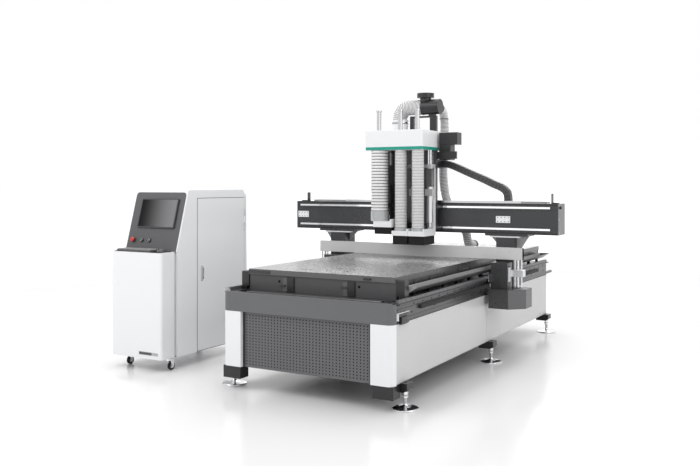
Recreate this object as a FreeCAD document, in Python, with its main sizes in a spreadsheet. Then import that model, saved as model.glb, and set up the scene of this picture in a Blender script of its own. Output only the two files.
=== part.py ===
import FreeCAD, Part
import math
import os
import re
import Sketcher

# A gantry router with three side by side spindles, its dust ducts and its control cabinet.
# Lengths are millimetres. X runs across the bed, Y from the front to the rear, Z up from the floor.
# The pieces are drawn about the middle of the bed front and moved together into the part frame.

SIZES = {
    # bed frame
    "beam_low": 580, "beam_top": 700, "wall": 6, "skin": 3, "bed_front": 60, "bed_rear": 3520,
    "rail_low": 180, "rail_rise": 80, "post_wide": 90, "post_deep": 90, "mid_post_y": 1720,
    "deck_thick": 12, "deck_start": 224, "stub_deep": 205, "stub_thick": 24, "stub_low": 584,
    "stub_high": 608, "cross_deep": 80, "cross_one_y": 60, "cross_two_y": 1725, "cross_three_y": 3440,
    # front
    "fascia_low": 577, "fascia_top": 719, "corner_round": 50, "fascia_deep": 60, "fascia_wall": 4,
    "corner_low": 173, "grille_low": 170, "grille_back": 30, "grille_thick": 3, "foot_block_low": 83,
    "foot_block_front": 10, "foot_block_rear": 110, "lip_deep": 20, "trough_start": 24, "trough_thick": 4,
    "ridge_front": 96, "ridge_rear": 164, "ridge_in": 16, "ridge_high": 11, "panel_seam_front": 1763,
    "panel_seam_rear": 1767,
    # levelling feet
    "foot_front_y": 164, "foot_mid_y": 1834, "foot_rear_y": 3476, "disc_radius": 92, "disc_thick": 12,
    "disc_dome": 10, "dome_radius": 44, "stem_radius": 12, "stem_top": 174, "nut_radius": 19, "nut_low": 96,
    "nut_high": 117, "bracket_top": 179, "bracket_low": 117, "bracket_half": 46, "bracket_nose": 136,
    # side fittings at the front
    "ear_front": 64, "ear_rear": 187, "ear_low": 622, "ear_high": 646, "hook_low": 571, "hook_step": 12,
    "hook_reach": 226,
    # table
    "table_half": 617, "table_front": 212, "table_rear": 3540, "table_low": 828, "table_top": 868,
    "leg_wide": 25, "leg_first": 244, "leg_pitch": 272, "leg_inner": 190, "leg_half": 12,
    "recess_front": 232, "recess_thick": 8, "stop_left": 372, "stop_right": 427, "stop_low": 841,
    "stop_high": 852, "stop_out": 14, "tab_low": 837, "tab_high": 859, "tab_out": 5, "tag_one_left": -334,
    "tag_one_right": -290, "tag_one_low": 750, "tag_one_high": 764, "tag_two_left": 188,
    "tag_two_right": 237, "tag_two_low": 768, "tag_two_high": 782, "tag_out": 14, "port_one": -346,
    "port_two": 327, "port_high": 785, "port_radius": 9, "tab_gap": 1, "tab_wide": 193,
    # long rails, racks and chip trays
    "guide_high": 24, "guide_start": 66, "guide_end": 3490, "pinion_teeth": 20, "rack_slack_share": 0.06,
    "root_share": 1.25, "rack_low": 640, "rack_high": 670, "rack_module": 4, "tray_inner_top": 800,
    "tray_inner_low": 770, "tray_valley_z": 752, "tray_tip_z": 795, "tray_thick": 3, "tray_start": 300,
    "tray_end": 3500, "arm_low": 776, "arm_high": 786,
    # locating cylinders
    "pop_front": 215, "pop_rear": 281, "pop_low": 736, "pop_high": 847, "pin_y": 248, "pin_radius": 12,
    "pin_low": 770, "pin_top": 843, "pin_fit": 0.05, "pin_bore_low": 760,
    # control cabinet
    "cab_skin": 4, "cab_low": 100, "cab_body_front": 308, "cab_rear": 1235, "cab_top": 1456,
    "cab_top_front": 455, "cab_round_y": 1180, "cab_round_z": 1400, "cover_front": 133, "cover_rear": 300,
    "cover_top": 953, "cover_in": 14, "slope_foot_y": 297, "slope_foot_z": 956, "slope_head_y": 434,
    "slope_head_z": 1436, "console_thick": 4, "console_in": 12, "slot_low": 139, "slot_high": 151,
    "door_front": 552, "door_rear": 1192, "door_low": 107, "door_high": 1384, "door_frame": 8,
    "door_thick": 3, "rim_thick": 10, "rim_in": 14, "rim_bar": 30, "hinge_y": 1196, "knuckle_radius": 5,
    "knuckle_low": 260, "knuckle_long": 60, "knuckle_pitch": 900, "knuckle_gap": 0.3, "lever_y": 606,
    "lever_low": 700, "lever_high": 806, "lever_wide": 22, "lever_thick": 9, "lever_plate": 4,
    "lever_pivot": 792, "pivot_radius": 8, "screen_low": 1138, "screen_high": 1380, "screen_thick": 14,
    "key_front": 152, "key_rear": 284, "key_high": 22, "mouse_y": 235, "mouse_wide": 58, "mouse_long": 98,
    "mouse_high": 32, "button_z": 1037, "collar_radius": 19, "collar_high": 6, "plunger_radius": 12,
    "plunger_fit": 0.4, "plunger_tail": 10, "plunger_out": 14, "estop_radius": 21, "estop_under": 11,
    "estop_out": 24, "swivel_y": 240, "trail": 32, "rear_caster_y": 1150, "wheel_radius": 35,
    "wheel_half": 12, "axle_radius": 5, "axle_fit": 0.05, "cheek_in": 14, "cheek_out": 18, "cheek_half": 16,
    "fork_low": 25, "fork_plate_low": 82, "swivel_seam": 91.7, "swivel_plate_low": 92,
    "swivel_plate_half": 28, "king_radius": 8, "king_top": 98, "inner_plate_y": 1180, "drive_wide": 120,
    "drive_deep": 150, "drive_high": 260, "drive_low": 700, "drive_pitch": 160, "breaker_high": 90,
    "breaker_low": 1080,
    # gantry
    "gantry_front": 1878, "gantry_rear": 2076, "gantry_low": 1083, "gantry_top": 1343, "gantry_wall": 8,
    "cap_thick": 6, "knob_out": 15, "knob_radius": 12, "knob_y": 1925, "knob_z": 1310, "column_low": 634,
    "flange_thick": 18, "gusset_reach": 110, "gusset_drop": 165, "gusset_front": 1970, "gusset_rear": 1982,
    "gusset_inner_drop": 95, "cover_low": 475, "drive_front": 1690, "drive_turn": 1805, "drive_back": 1965,
    "drive_skin": 3, "hatch_front": 1745, "hatch_top": 850, "pinion_y": 1800, "pinion_shaft": 12,
    "pinion_shaft_low": 600, "pinion_shaft_top": 682, "shaft_fit": 0.05, "gearbox_low": 590,
    "gearbox_front": 1750, "gearbox_rear": 1850, "motor_radius": 52, "motor_low": 484,
    "slide_plate_front": 1700, "slide_plate_rear": 2160, "slide_plate_low": 690, "slide_plate_high": 760,
    "truck_long": 80, "truck_front": 1710, "truck_back": 2080, "truck_low": 714, "truck_high": 746,
    "slide_gap": 0.3, "lift_front": 1800, "lift_rear": 1874, "lift_low": 735, "lift_high": 790,
    "lift_flange_front": 1750, "lift_flange_low": 695, "lift_flange_high": 812, "rod_y": 1854,
    "rod_radius": 7, "ram_radius": 10, "rod_low": 638, "rod_fit": 0.05, "bar_front": 1834, "bar_rear": 1874,
    "bar_low": 871, "bar_high": 972, "bar_wall": 4, "x_rail_front": 1862, "x_rail_high": 30,
    "x_rail_upper": 1292, "x_rail_lower": 1112, "plate_front": 1874, "plate_left_low": 1189,
    "plate_left_high": 1247, "plate_right_low": 1177, "plate_right_high": 1234, "x_rack_front": 1881,
    "x_rack_root": 1892, "x_rack_high": 20, "post_front": 1886, "post_rear": 1936, "post_high": 1427,
    "post_thick": 6, "post_foot_high": 1352, "trough_front": 1988, "trough_rear": 2074, "trough_floor": 3,
    "trough_wall": 14,
    # cross carriage
    "cart_left": 330, "cart_right": 222, "cart_front": 1800, "cart_rear": 1838, "cart_low": 1160,
    "cart_high": 1801, "shoe_truck_wide": 100, "x_truck_rear": 1872, "x_truck_over": 10, "x_motor_x": 100,
    "x_motor_y": 1937, "x_motor_plate_low": 1385, "x_motor_plate_high": 1400, "x_motor_plate_half": 60,
    "x_motor_plate_rear": 1985, "x_motor_half": 48, "x_motor_high": 1600, "x_pinion_low": 1346,
    "x_pinion_high": 1361, "x_shaft": 10, "x_shaft_top": 1412, "z_rail_front": 1786, "z_rail_half": 10,
    "z_rail_low": 1225, "z_rail_high": 1790, "z_block_half": 28, "z_block_front": 1778,
    "z_block_rear": 1797, "z_block_long": 90, "z_block_low": 1345, "z_block_next": 1545, "z_left_low": 1425,
    "z_left_next": 1565, "z_plate_front": 1770, "z_plate_half": 36, "z_plate_mid_half": 24,
    "spindle_y": 1738, "spindle_radius": 27, "spindle_left_x": -210, "spindle_mid_x": 40,
    "spindle_right_x": 192, "spindle_low": 1170, "spindle_high": 1645, "spindle_left_low": 1230,
    "spindle_left_high": 1497, "clamp_half": 34, "clamp_front": 1708, "clamp_low": 1403, "clamp_high": 1463,
    "clamp_left_low": 1300, "clamp_left_high": 1340, "cap_left_high": 1675, "flange_left_reach": 44,
    "flange_right_reach": 36, "flange_high": 1675, "flange_front": 1702, "guide_rod_y": 1755,
    "guide_rod_radius": 8, "guide_rod_step": 20, "guide_rod_top": 1912, "guide_rod_room": 9,
    "collet_radius": 18, "collet_low": 1130, "collet_left_low": 1192, "shank_radius": 6, "shank_low": 1010,
    "shank_left_low": 1090, "rotor_seat": 20, "rotor_radius": 12,
    # dust shoes and hoses
    "shoe_front": 1550, "shoe_rear": 1797, "shoe_right_left": 68, "shoe_right_right": 221,
    "shoe_mid_left": -87, "shoe_mid_right": 66, "shoe_left_left": -265, "shoe_left_right": -90,
    "brush_low": 985, "brush_left_low": 1070, "shoe_low": 1060, "shoe_left_low": 1130, "shoe_high": 1102,
    "shoe_left_high": 1182, "brush_in": 8, "brush_thick": 9, "ridge_top": 1121, "shoe_ridge": 14,
    "tool_room": 20, "shoe_port": 38, "shoe_port_left": 218, "hose_y": 1608, "hose_left_y": 1627,
    "hose_mid_x": -24, "hose_right_x": 138, "hose_left_x": -241, "hose_radius": 52, "hose_left_radius": 76,
    "hose_wall": 3, "cuff_high": 28, "cuff_more": 5, "cuff_left_high": 88, "rib_pitch": 12,
    "rib_left_pitch": 22, "rib_deep": 4,
    # hood
    "hood_left": 347, "hood_right": 205, "hood_front": 1550, "hood_rear": 1969, "hood_low": 1801,
    "hood_high": 1972, "hood_skin": 3, "barrel_left_x": -233, "barrel_mid_x": -25, "barrel_right_x": 136,
    "barrel_y": 1600, "barrel_radius": 20, "barrel_top": 2150, "barrel_cap": 15, "barrel_cap_radius": 25,
    "plenum_left": 330, "plenum_right": 190, "plenum_front": 1556, "plenum_rear": 1700, "plenum_low": 1812,
    "plenum_high": 1960,
    # ducts on the hood
    "duct_y": 1870, "stub_x": -158, "duct_radius": 67, "stub_radius": 74, "duct_wall": 3, "stub_top": 2079,
    "bend_radius": 95, "duct_z": 2188, "tee_start": 70, "tee_end": 234, "neck_x": 92, "neck_radius": 50,
    "lid_low": 2270, "lid_high": 2310, "lid_radius": 76, "branch_x": 158, "branch_radius": 40,
    "branch_end": 2060, "drop_y": 2130, "band_half": 8, "band_more": 3, "mast_left_out": 53,
    "mast_left_in": 22, "mast_right_in": 140, "mast_right_out": 200, "mast_front": 1850, "mast_rear": 1890,
    "mast_top": 2110, "mast_bar": 16, "saddle_half": 30, "saddle_high": 22, "drop_one": 1500,
    "drop_two": 1330, "drop_three": 1180, "drop_four": 1070, "drop_end": 955, "drop_lead": 26,
    "drop_ease": 5, "drop_two_x": 200, "drop_three_x": 310, "drop_four_x": 372, "drop_end_x": 385,
    "drop_turn": 85, "drop_back": 2262, "outlet_long": 30, "outlet_more": 4,
    # boxes and chain behind the head
    "arm_left": 150, "arm_right": 397, "arm_front": 1838, "arm_rear": 1858, "arm_bottom": 1725,
    "arm_top": 1790, "box_rear": 1960, "lower_left": 227, "lower_right": 334, "lower_low": 1717,
    "upper_low": 1850, "upper_high": 1957, "head_left": 165, "head_right": 208, "head_low": 1648,
    "head_high": 1724, "chain_front": 1992, "chain_rear": 2052, "chain_half": 32, "chain_slope_x": 464,
    "chain_slope_z": 1596, "chain_knee_x": 657, "chain_knee_z": 1512, "chain_side_x": 786,
    "chain_side_z": 1440, "chain_foot_x": 802, "chain_foot_z": 1352, "chain_start_z": 1686,
    "chain_lead": 34, "chain_ease": 2, "link_gap": 2, "link_long": 34,
}

# bed and gantry: places outwards from the long edge of the table
FROM_TABLE = {
    "side_out": 83, "side_in": -17, "corner_in": -83, "foot_block_in": -73, "trough_half": -21,
    "ridge_half": -57, "ledge_in": 23, "ledge_out": 109, "foot_x": 97, "bracket_in": 3, "bracket_out": 131,
    "bracket_toe": 105, "ear_out": 95, "leg_out": -2, "guide_in": 75, "guide_out": 97, "rack_root": 96,
    "tray_valley_x": 51, "tray_tip_x": 116, "pop_in": 1, "pop_out": 67, "pop_foot_in": 23,
    "pop_foot_out": 67, "pin_x": 34, "column_in": 125, "column_out": 276, "flange_in": 26,
    "flange_out": 399, "gusset_inner_x": 38, "drive_face": 294, "drive_out": 409, "hatch_out": 271,
    "pinion_x": 141, "gearbox_in": 128, "gearbox_out": 273, "motor_x": 215, "slide_plate_in": 118,
    "truck_in": 63, "lift_out": 383, "lift_flange_out": 281, "rod_one": 298, "rod_two": 324,
    "rod_three": 355, "bar_half": 368, "gantry_half": 652, "plate_right_in": 125, "plate_right_out": 250,
}
# beam fittings and cabinet: places outwards from the end of the beam
FROM_BEAM_END = {
    "post_left_foot": -44, "post_left_x": -113, "post_right_x": -56, "post_right_foot": -1,
    "x_rail_left": -44, "x_rail_right": -60, "plate_left_out": -11, "plate_left_in": -130,
    "trough_left": -119, "trough_right": -119, "cab_right": 133,
}
# cabinet fittings: places outwards from the side that faces the bed
FROM_CABINET = {
    "cab_left": 575, "slot_left": 255, "slot_right": 51, "hinge_x": -6, "screen_left": 476,
    "screen_right": 73, "key_left": 528, "key_right": 158, "mouse_x": 108, "estop_x": 496, "start_x": 401,
    "stop_x": 319, "caster_left": 486, "caster_right": 38, "drive_first": 528,
}

doc = FreeCAD.newDocument("Router")
sheet = doc.addObject("Spreadsheet::Sheet", "Sizes")
CELLS = dict(SIZES)
for start, group in (("table_half", FROM_TABLE), ("gantry_half", FROM_BEAM_END), ("cab_right", FROM_CABINET)):
    for name, amount in group.items():
        CELLS[name] = "=%s %+g" % (start, amount)
for row, (name, content) in enumerate(CELLS.items(), start=1):
    sheet.set("A%d" % row, name)
    sheet.set("B%d" % row, str(content))
    sheet.setAlias("B%d" % row, name)
doc.recompute()

WORD = re.compile(r"[a-z]\w*")
ZERO = FreeCAD.Vector(0, 0, 0)
ALONG_X = FreeCAD.Vector(1, 0, 0)
ALONG_Y = FreeCAD.Vector(0, 1, 0)
ALONG_Z = FreeCAD.Vector(0, 0, 1)
TURNED = {
    "X": FreeCAD.Rotation(ALONG_Y, 90),
    "Y": FreeCAD.Rotation(ALONG_X, -90),
    "Z": FreeCAD.Rotation(ALONG_X, 0),
}
MIDDLE_X = "(gantry_half + cap_thick + knob_out - cab_left) / 2"
MIDDLE_Y = "(bed_rear + stub_deep) / 2"


def size(name):
    return float(sheet.get(name))


def bound(text):
    def swap(found):
        word = found.group(0)
        return "Sizes." + word if word in CELLS else word
    return WORD.sub(swap, text)


def bind(piece, prop, text):
    piece.setExpression(prop, bound(text))


def place(piece, x, y, z):
    bind(piece, "Placement.Base.x", x)
    bind(piece, "Placement.Base.y", y)
    bind(piece, "Placement.Base.z", z)
    return piece


def box(x_low, x_high, y_low, y_high, z_low, z_high):
    piece = doc.addObject("Part::Box", "Block")
    bind(piece, "Length", "(%s) - (%s)" % (x_high, x_low))
    bind(piece, "Width", "(%s) - (%s)" % (y_high, y_low))
    bind(piece, "Height", "(%s) - (%s)" % (z_high, z_low))
    return place(piece, x_low, y_low, z_low)


def rod(axis, radius, x, y, z, length):
    piece = doc.addObject("Part::Cylinder", "Rod")
    bind(piece, "Radius", radius)
    bind(piece, "Height", length)
    piece.Placement = FreeCAD.Placement(ZERO, TURNED[axis])
    return place(piece, x, y, z)


def cone(axis, low_radius, high_radius, x, y, z, length):
    piece = doc.addObject("Part::Cone", "Taper")
    bind(piece, "Radius1", low_radius)
    bind(piece, "Radius2", high_radius)
    bind(piece, "Height", length)
    piece.Placement = FreeCAD.Placement(ZERO, TURNED[axis])
    return place(piece, x, y, z)


def cut(piece, *tools):
    for tool in tools:
        left = doc.addObject("Part::Cut", "Cut")
        left.Base = piece
        left.Tool = tool
        piece = left
    return piece


def join(*pieces):
    whole = doc.addObject("Part::MultiFuse", "Joined")
    whole.Shapes = list(pieces)
    return whole


def mirror(piece):
    other = doc.addObject("Part::Mirroring", "Mirrored")
    other.Source = piece
    other.Normal = ALONG_X
    other.Base = ZERO
    return other


def both(*pieces):
    return list(pieces) + [mirror(piece) for piece in pieces]


def beam(x_low, x_high, y_low, y_high, z_low, z_high, wall, axis):
    span = {"X": (x_low, x_high), "Y": (y_low, y_high), "Z": (z_low, z_high)}
    inner = []
    for name in "XYZ":
        low, high = span[name]
        if name != axis:
            low = "%s + %s" % (low, wall)
            high = "%s - %s" % (high, wall)
        inner += [low, high]
    return cut(box(x_low, x_high, y_low, y_high, z_low, z_high), box(*inner))


def prism(plane, points, low, high, corners=(), radius=None):
    body = doc.addObject("PartDesign::Body", "Profile")
    face = [part for part in body.Origin.OriginFeatures if part.Role == plane + "_Plane"][0]
    sketch = body.newObject("Sketcher::SketchObject", "Outline")
    sketch.AttachmentSupport = [(face, "")]
    sketch.MapMode = "FlatFace"
    count = len(points)
    turn = 2 * math.pi / count
    guess = [FreeCAD.Vector(math.cos(turn * i), math.sin(turn * i), 0) for i in range(count)]
    for i in range(count):
        sketch.addGeometry(Part.LineSegment(guess[i], guess[(i + 1) % count]), False)
    for i in range(count):
        sketch.addConstraint(Sketcher.Constraint("Coincident", i, 2, (i + 1) % count, 1))
    for i, pair in enumerate(points):
        for way, text, start in zip("XY", pair, (guess[i].x, guess[i].y)):
            spot = sketch.addConstraint(Sketcher.Constraint("Distance" + way, -1, 1, i, 1, start))
            sketch.setExpression("Constraints[%d]" % spot, bound(text))
    pad = body.newObject("PartDesign::Pad", "Pad")
    pad.Profile = sketch
    bind(pad, "Length", "(%s) - (%s)" % (high, low))
    pad.Reversed = plane == "XZ"
    body.Tip = pad
    axis = {"XY": "z", "XZ": "y", "YZ": "x"}[plane]
    bind(body, "Placement.Base." + axis, low)
    if corners:
        doc.recompute()
        names = []
        for number, edge in enumerate(pad.Shape.Edges, start=1):
            ends = [vertex.Point for vertex in edge.Vertexes]
            if len(ends) < 2 or abs(getattr(ends[0] - ends[1], axis)) < edge.Length / 2:
                continue
            for corner in corners:
                spot = sketch.Geometry[corner].StartPoint
                near = (spot.x, spot.y)
                here = {"XY": (ends[0].x, ends[0].y), "XZ": (ends[0].x, ends[0].z),
                        "YZ": (ends[0].y, ends[0].z)}[plane]
                if math.dist(near, here) < edge.Length * 1e-6:
                    names.append("Edge%d" % number)
        fillet = body.newObject("PartDesign::Fillet", "Round")
        fillet.Base = (pad, names)
        bind(fillet, "Radius", radius)
        body.Tip = fillet
    return body


def feature(shape):
    piece = doc.addObject("Part::Feature", "Formed")
    piece.Shape = shape
    return piece


NODES = []


def node(label, *pieces):
    whole = doc.addObject("Part::Compound", label)
    whole.Label = label
    links = []
    for piece in pieces:
        links += piece if isinstance(piece, list) else [piece]
    whole.Links = links
    bind(whole, "Placement.Base.x", "-(%s)" % MIDDLE_X)
    bind(whole, "Placement.Base.y", "-(%s)" % MIDDLE_Y)
    NODES.append(whole)
    return whole


def rack(axis, root, tip, base, low, high, centre, first, last, sign):
    module = size("rack_module")
    pitch = math.pi * module
    slack = size("rack_slack_share") * module
    slope = math.tan(math.radians(20))
    half = pitch / 4 - slack
    addendum = module
    outline = []
    for k in range(first, last + 1):
        middle = centre + k * pitch
        wide = half + (addendum + module * size("root_share")) * slope - addendum * slope
        narrow = half - addendum * slope
        outline.append((root, middle - wide))
        outline.append((tip, middle - narrow))
        outline.append((tip, middle + narrow))
        outline.append((root, middle + wide))
    start = outline[0][1]
    end = outline[-1][1]
    outline = [(base, start)] + outline + [(base, end)]
    points = []
    for across, along in outline:
        if axis == "Y":
            points.append(FreeCAD.Vector(sign * across, along, low))
        else:
            points.append(FreeCAD.Vector(along, across, low))
    points.append(points[0])
    face = Part.Face(Part.makePolygon(points))
    return feature(face.extrude(FreeCAD.Vector(0, 0, high - low)))


def gear(x, y, low, high, shaft, shaft_low, shaft_high, turned):
    module = size("rack_module")
    teeth = int(size("pinion_teeth"))
    pitch_radius = module * teeth / 2
    tip_radius = pitch_radius + module
    root_radius = pitch_radius - size("root_share") * module
    angle = math.radians(20)
    base_radius = pitch_radius * math.cos(angle)
    slack = size("rack_slack_share") * module / pitch_radius
    flank = math.tan(angle) - angle
    points = []
    for tooth in range(teeth):
        middle = 2 * math.pi * tooth / teeth + turned
        half = math.pi / (2 * teeth) - slack
        side = []
        for step in range(6):
            radius = base_radius + (tip_radius - base_radius) * step / 5
            roll = math.acos(base_radius / radius)
            side.append((radius, half + flank - (math.tan(roll) - roll)))
        side = [(root_radius, side[0][1])] + side
        for radius, away in side:
            points.append((radius, middle - away))
        for radius, away in reversed(side):
            points.append((radius, middle + away))
    spots = [FreeCAD.Vector(x + r * math.cos(a), y + r * math.sin(a), low) for r, a in points]
    spots.append(spots[0])
    wheel = Part.Face(Part.makePolygon(spots)).extrude(FreeCAD.Vector(0, 0, high - low))
    stem = Part.makeCylinder(shaft, shaft_high - shaft_low, FreeCAD.Vector(x, y, shaft_low), ALONG_Z)
    return feature(wheel.fuse(stem).removeSplitter())


def bend(points, step):
    # an even run of places along a smooth line through the points
    curve = Part.BSplineCurve()
    curve.interpolate(points)
    return along(curve.toShape(), step)


def along(wire, step):
    count = max(2, int(round(wire.Length / step)))
    return wire.discretize(Number=count * 4 + 1)


def hose(spots, radius, deep, bore, side):
    # four rings to a rib: low, low, high, high
    outer = []
    inner = []
    last = len(spots) - 1
    for i, spot in enumerate(spots):
        heading = (spots[min(i + 1, last)] - spots[max(i - 1, 0)]).normalize()
        side = (side - heading * side.dot(heading)).normalize()
        turned = FreeCAD.Rotation(side, heading.cross(side), heading)
        low = i % 4 < 2 or i == last
        for rings, reach in ((outer, radius - deep if low else radius), (inner, bore)):
            ring = Part.Wire([Part.Circle(ZERO, ALONG_Z, reach).toShape()])
            ring.Placement = FreeCAD.Placement(spot, turned)
            if rings is outer or i % 4 == 0:
                rings.append(ring)
    faces = Part.makeLoft(outer, False, True).Faces
    faces += Part.makeLoft(inner, False, True).Faces
    for big, small in ((outer[0], inner[0]), (outer[-1], inner[-1])):
        face = Part.makeFace([big, small], "Part::FaceMakerBullseye")
        faces += face.Faces
    skin = Part.makeShell(faces)
    skin.sewShape()
    solid = Part.makeSolid(skin.Shells[0] if skin.Shells else skin)
    if solid.Volume < 0:
        solid.reverse()
    return feature(solid)


# bed frame
node("side_beams", both(beam("side_in", "side_out", "bed_front", "bed_rear", "beam_low", "beam_top",
                             "wall", "Y")))

FRAME = []
RAIL_IN = "side_out - skin - post_wide"
RAIL_OUT = "side_out - skin"
RAIL_TOP = "rail_low + rail_rise"
FRAME += both(beam(RAIL_IN, RAIL_OUT, "bed_front", "bed_rear", "rail_low", RAIL_TOP, "wall", "Y"))
for start in ("bed_front", "mid_post_y", "bed_rear - post_deep"):
    FRAME += both(beam(RAIL_IN, RAIL_OUT, start, start + " + post_deep", RAIL_TOP, "beam_low", "wall", "Z"))
for start in ("cross_one_y", "cross_two_y", "cross_three_y"):
    end = start + " + cross_deep"
    FRAME.append(beam("-side_in", "side_in", start, end, "beam_low", "beam_top", "wall", "X"))
    FRAME.append(beam("-(%s)" % RAIL_IN, RAIL_IN, start, end, "rail_low", RAIL_TOP, "wall", "X"))
FRAME.append(box("-ledge_in", "ledge_in", "deck_start", "bed_rear", "beam_top", "beam_top + deck_thick"))
FRAME += both(box("ledge_in", "ledge_out", "bed_front", "bed_rear", "beam_top", "beam_top + deck_thick"))
FRAME.append(box("side_out - stub_thick", "side_out", "bed_rear", "bed_rear + stub_deep",
                 "stub_low", "stub_high"))
node("frame_members", FRAME)

# front of the bed
FASCIA = prism("XY", [("-side_out", "0"), ("side_out", "0"), ("side_out", "fascia_deep"),
                      ("-side_out", "fascia_deep")], "fascia_low", "fascia_top", (0, 1), "corner_round")
HOLLOW = prism("XY", [("-side_out + fascia_wall", "fascia_wall"), ("side_out - fascia_wall", "fascia_wall"),
                      ("side_out - fascia_wall", "fascia_deep + fascia_wall"),
                      ("-side_out + fascia_wall", "fascia_deep + fascia_wall")],
               "fascia_low - fascia_wall", "fascia_top - fascia_wall", (0, 1), "corner_round - fascia_wall")
UNDER = box("-side_out", "side_out", "lip_deep", "fascia_deep + fascia_wall",
            "fascia_top - 2 * fascia_wall", "fascia_top + fascia_wall")
node("front_fascia", cut(FASCIA, HOLLOW, UNDER))

CORNER = prism("XY", [("corner_in", "0"), ("side_out", "0"), ("side_out", "fascia_deep"),
                      ("corner_in", "fascia_deep")], "corner_low", "fascia_low", (1,), "corner_round")
CORNER_CORE = prism("XY", [("corner_in + skin", "skin"), ("side_out - skin", "skin"),
                           ("side_out - skin", "fascia_deep + skin"),
                           ("corner_in + skin", "fascia_deep + skin")],
                    "corner_low - skin", "fascia_low + skin", (1,), "corner_round - skin")
node("corner_posts", both(cut(CORNER, CORNER_CORE)))

node("front_grille", box("-corner_in", "corner_in", "grille_back", "grille_back + grille_thick",
                         "grille_low", "fascia_low"))

PANEL_HIGH = "beam_low"
PANELS = []
for start, end in (("fascia_deep", "panel_seam_front"), ("panel_seam_rear", "bed_rear")):
    PANELS += both(box("side_out - skin", "side_out", start, end, "bracket_top", PANEL_HIGH))
PANELS.append(box("-(%s)" % RAIL_IN, RAIL_IN, "bed_rear", "bed_rear + skin", "bracket_top", PANEL_HIGH))
PANELS += [join(
    box("side_out", "ear_out", "ear_front", "ear_rear", "ear_low", "ear_high"),
    box("side_out", "ear_out", "ear_rear", "ear_rear + hook_step", "hook_low", "ear_high"),
    box("side_out", "ear_out", "ear_rear + hook_step", "hook_reach", "hook_low", "hook_low + hook_step"))]
node("body_panels", PANELS)

# levelling feet
BRACKETS = []
FEET = []
for spot in ("foot_front_y", "foot_mid_y", "foot_rear_y"):
    plate = prism("XZ", [("bracket_in", "bracket_low"), ("bracket_toe", "bracket_low"),
                         ("bracket_out", "bracket_nose"), ("bracket_out", "bracket_top"),
                         ("bracket_in", "bracket_top")], "%s - bracket_half" % spot, "%s + bracket_half" % spot)
    bore = rod("Z", "stem_radius", "foot_x", spot, "nut_low", "bracket_top")
    BRACKETS += both(cut(plate, bore))
    dome_top = "disc_thick + disc_dome"
    FEET += both(rod("Z", "disc_radius", "foot_x", spot, "0", "disc_thick"),
                 cone("Z", "dome_radius", "stem_radius + disc_dome", "foot_x", spot, "disc_thick", "disc_dome"),
                 rod("Z", "stem_radius", "foot_x", spot, dome_top, "nut_low - (%s)" % dome_top),
                 rod("Z", "nut_radius", "foot_x", spot, "nut_low", "nut_high - nut_low"),
                 rod("Z", "stem_radius", "foot_x", spot, "nut_high", "stem_top - nut_high"))
BRACKETS += both(box("foot_block_in", "side_out", "foot_block_front", "foot_block_rear",
                     "foot_block_low", "corner_low"))
BRACKETS += both(box("foot_block_in", "side_out - skin", "bed_front", "foot_block_rear",
                     "corner_low", "rail_low"))
node("foot_brackets", BRACKETS)
node("levelling_feet", FEET)

# table
LEG_PAIRS = 13
LEGS = []
DECK_TOP = "beam_top + deck_thick"
for place_in_row in range(LEG_PAIRS):
    middle = "leg_first + leg_pitch * %d" % place_in_row
    low = "%s - leg_half" % middle
    high = "%s + leg_half" % middle
    LEGS += both(box("leg_out - leg_wide", "leg_out", low, high, DECK_TOP, "table_low"),
                 box("leg_inner", "leg_inner + leg_wide", low, high, DECK_TOP, "table_low"))
    if place_in_row:
        LEGS += both(box("leg_out", "ledge_in", low, high, "arm_low", "arm_high"))
node("table_posts", LEGS)

node("table_top", box("-table_half", "table_half", "table_front", "table_rear", "table_low", "table_top"))

RECESS = box("-table_half", "table_half", "recess_front - recess_thick", "recess_front", DECK_TOP, "table_low")
for spot in ("port_one", "port_two"):
    RECESS = cut(RECESS, rod("Y", "port_radius", spot, "recess_front - 2 * recess_thick", "port_high",
                             "3 * recess_thick"))
FRONT = [RECESS]
for left, right, low, high in (("tag_one_left", "tag_one_right", "tag_one_low", "tag_one_high"),
                               ("tag_two_left", "tag_two_right", "tag_two_low", "tag_two_high")):
    back = "recess_front - recess_thick"
    FRONT.append(box(left, right, "%s - tag_out" % back, back, low, high))
FRONT.append(box("stop_left", "stop_right", "table_front - stop_out", "table_front", "stop_low", "stop_high"))
FRONT.append(box("-table_half + tab_gap", "-table_half + tab_gap + tab_wide", "table_front - tab_out",
                 "table_front", "tab_low", "tab_high"))
FLOOR = box("-trough_half", "trough_half", "trough_start", "deck_start", "beam_top", "beam_top + trough_thick")
RIDGE = prism("YZ", [("ridge_front", "beam_top + trough_thick"), ("ridge_rear", "beam_top + trough_thick"),
                     ("ridge_rear - ridge_in", "beam_top + trough_thick + ridge_high"),
                     ("ridge_front + ridge_in", "beam_top + trough_thick + ridge_high")],
              "-ridge_half", "ridge_half")
FRONT.append(join(FLOOR, RIDGE))
node("table_front", FRONT)

# long rails and racks
# teeth on either side of the pinion, as it stands at rest
Y_TEETH = (-110, 110)
X_TEETH = (-66, 68)
Y_RAILS = both(box("guide_in", "guide_out", "guide_start", "guide_end", DECK_TOP, "%s + guide_high" % DECK_TOP))
PITCH_X = size("pinion_x") - size("rack_module") * size("pinion_teeth") / 2
RACK_TIP = PITCH_X + size("rack_module")
for sign in (1, -1):
    Y_RAILS.append(rack("Y", size("rack_root"), RACK_TIP, size("side_out"), size("rack_low"), size("rack_high"),
                        size("pinion_y"), Y_TEETH[0], Y_TEETH[1], sign))
node("y_rails", Y_RAILS)

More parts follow.
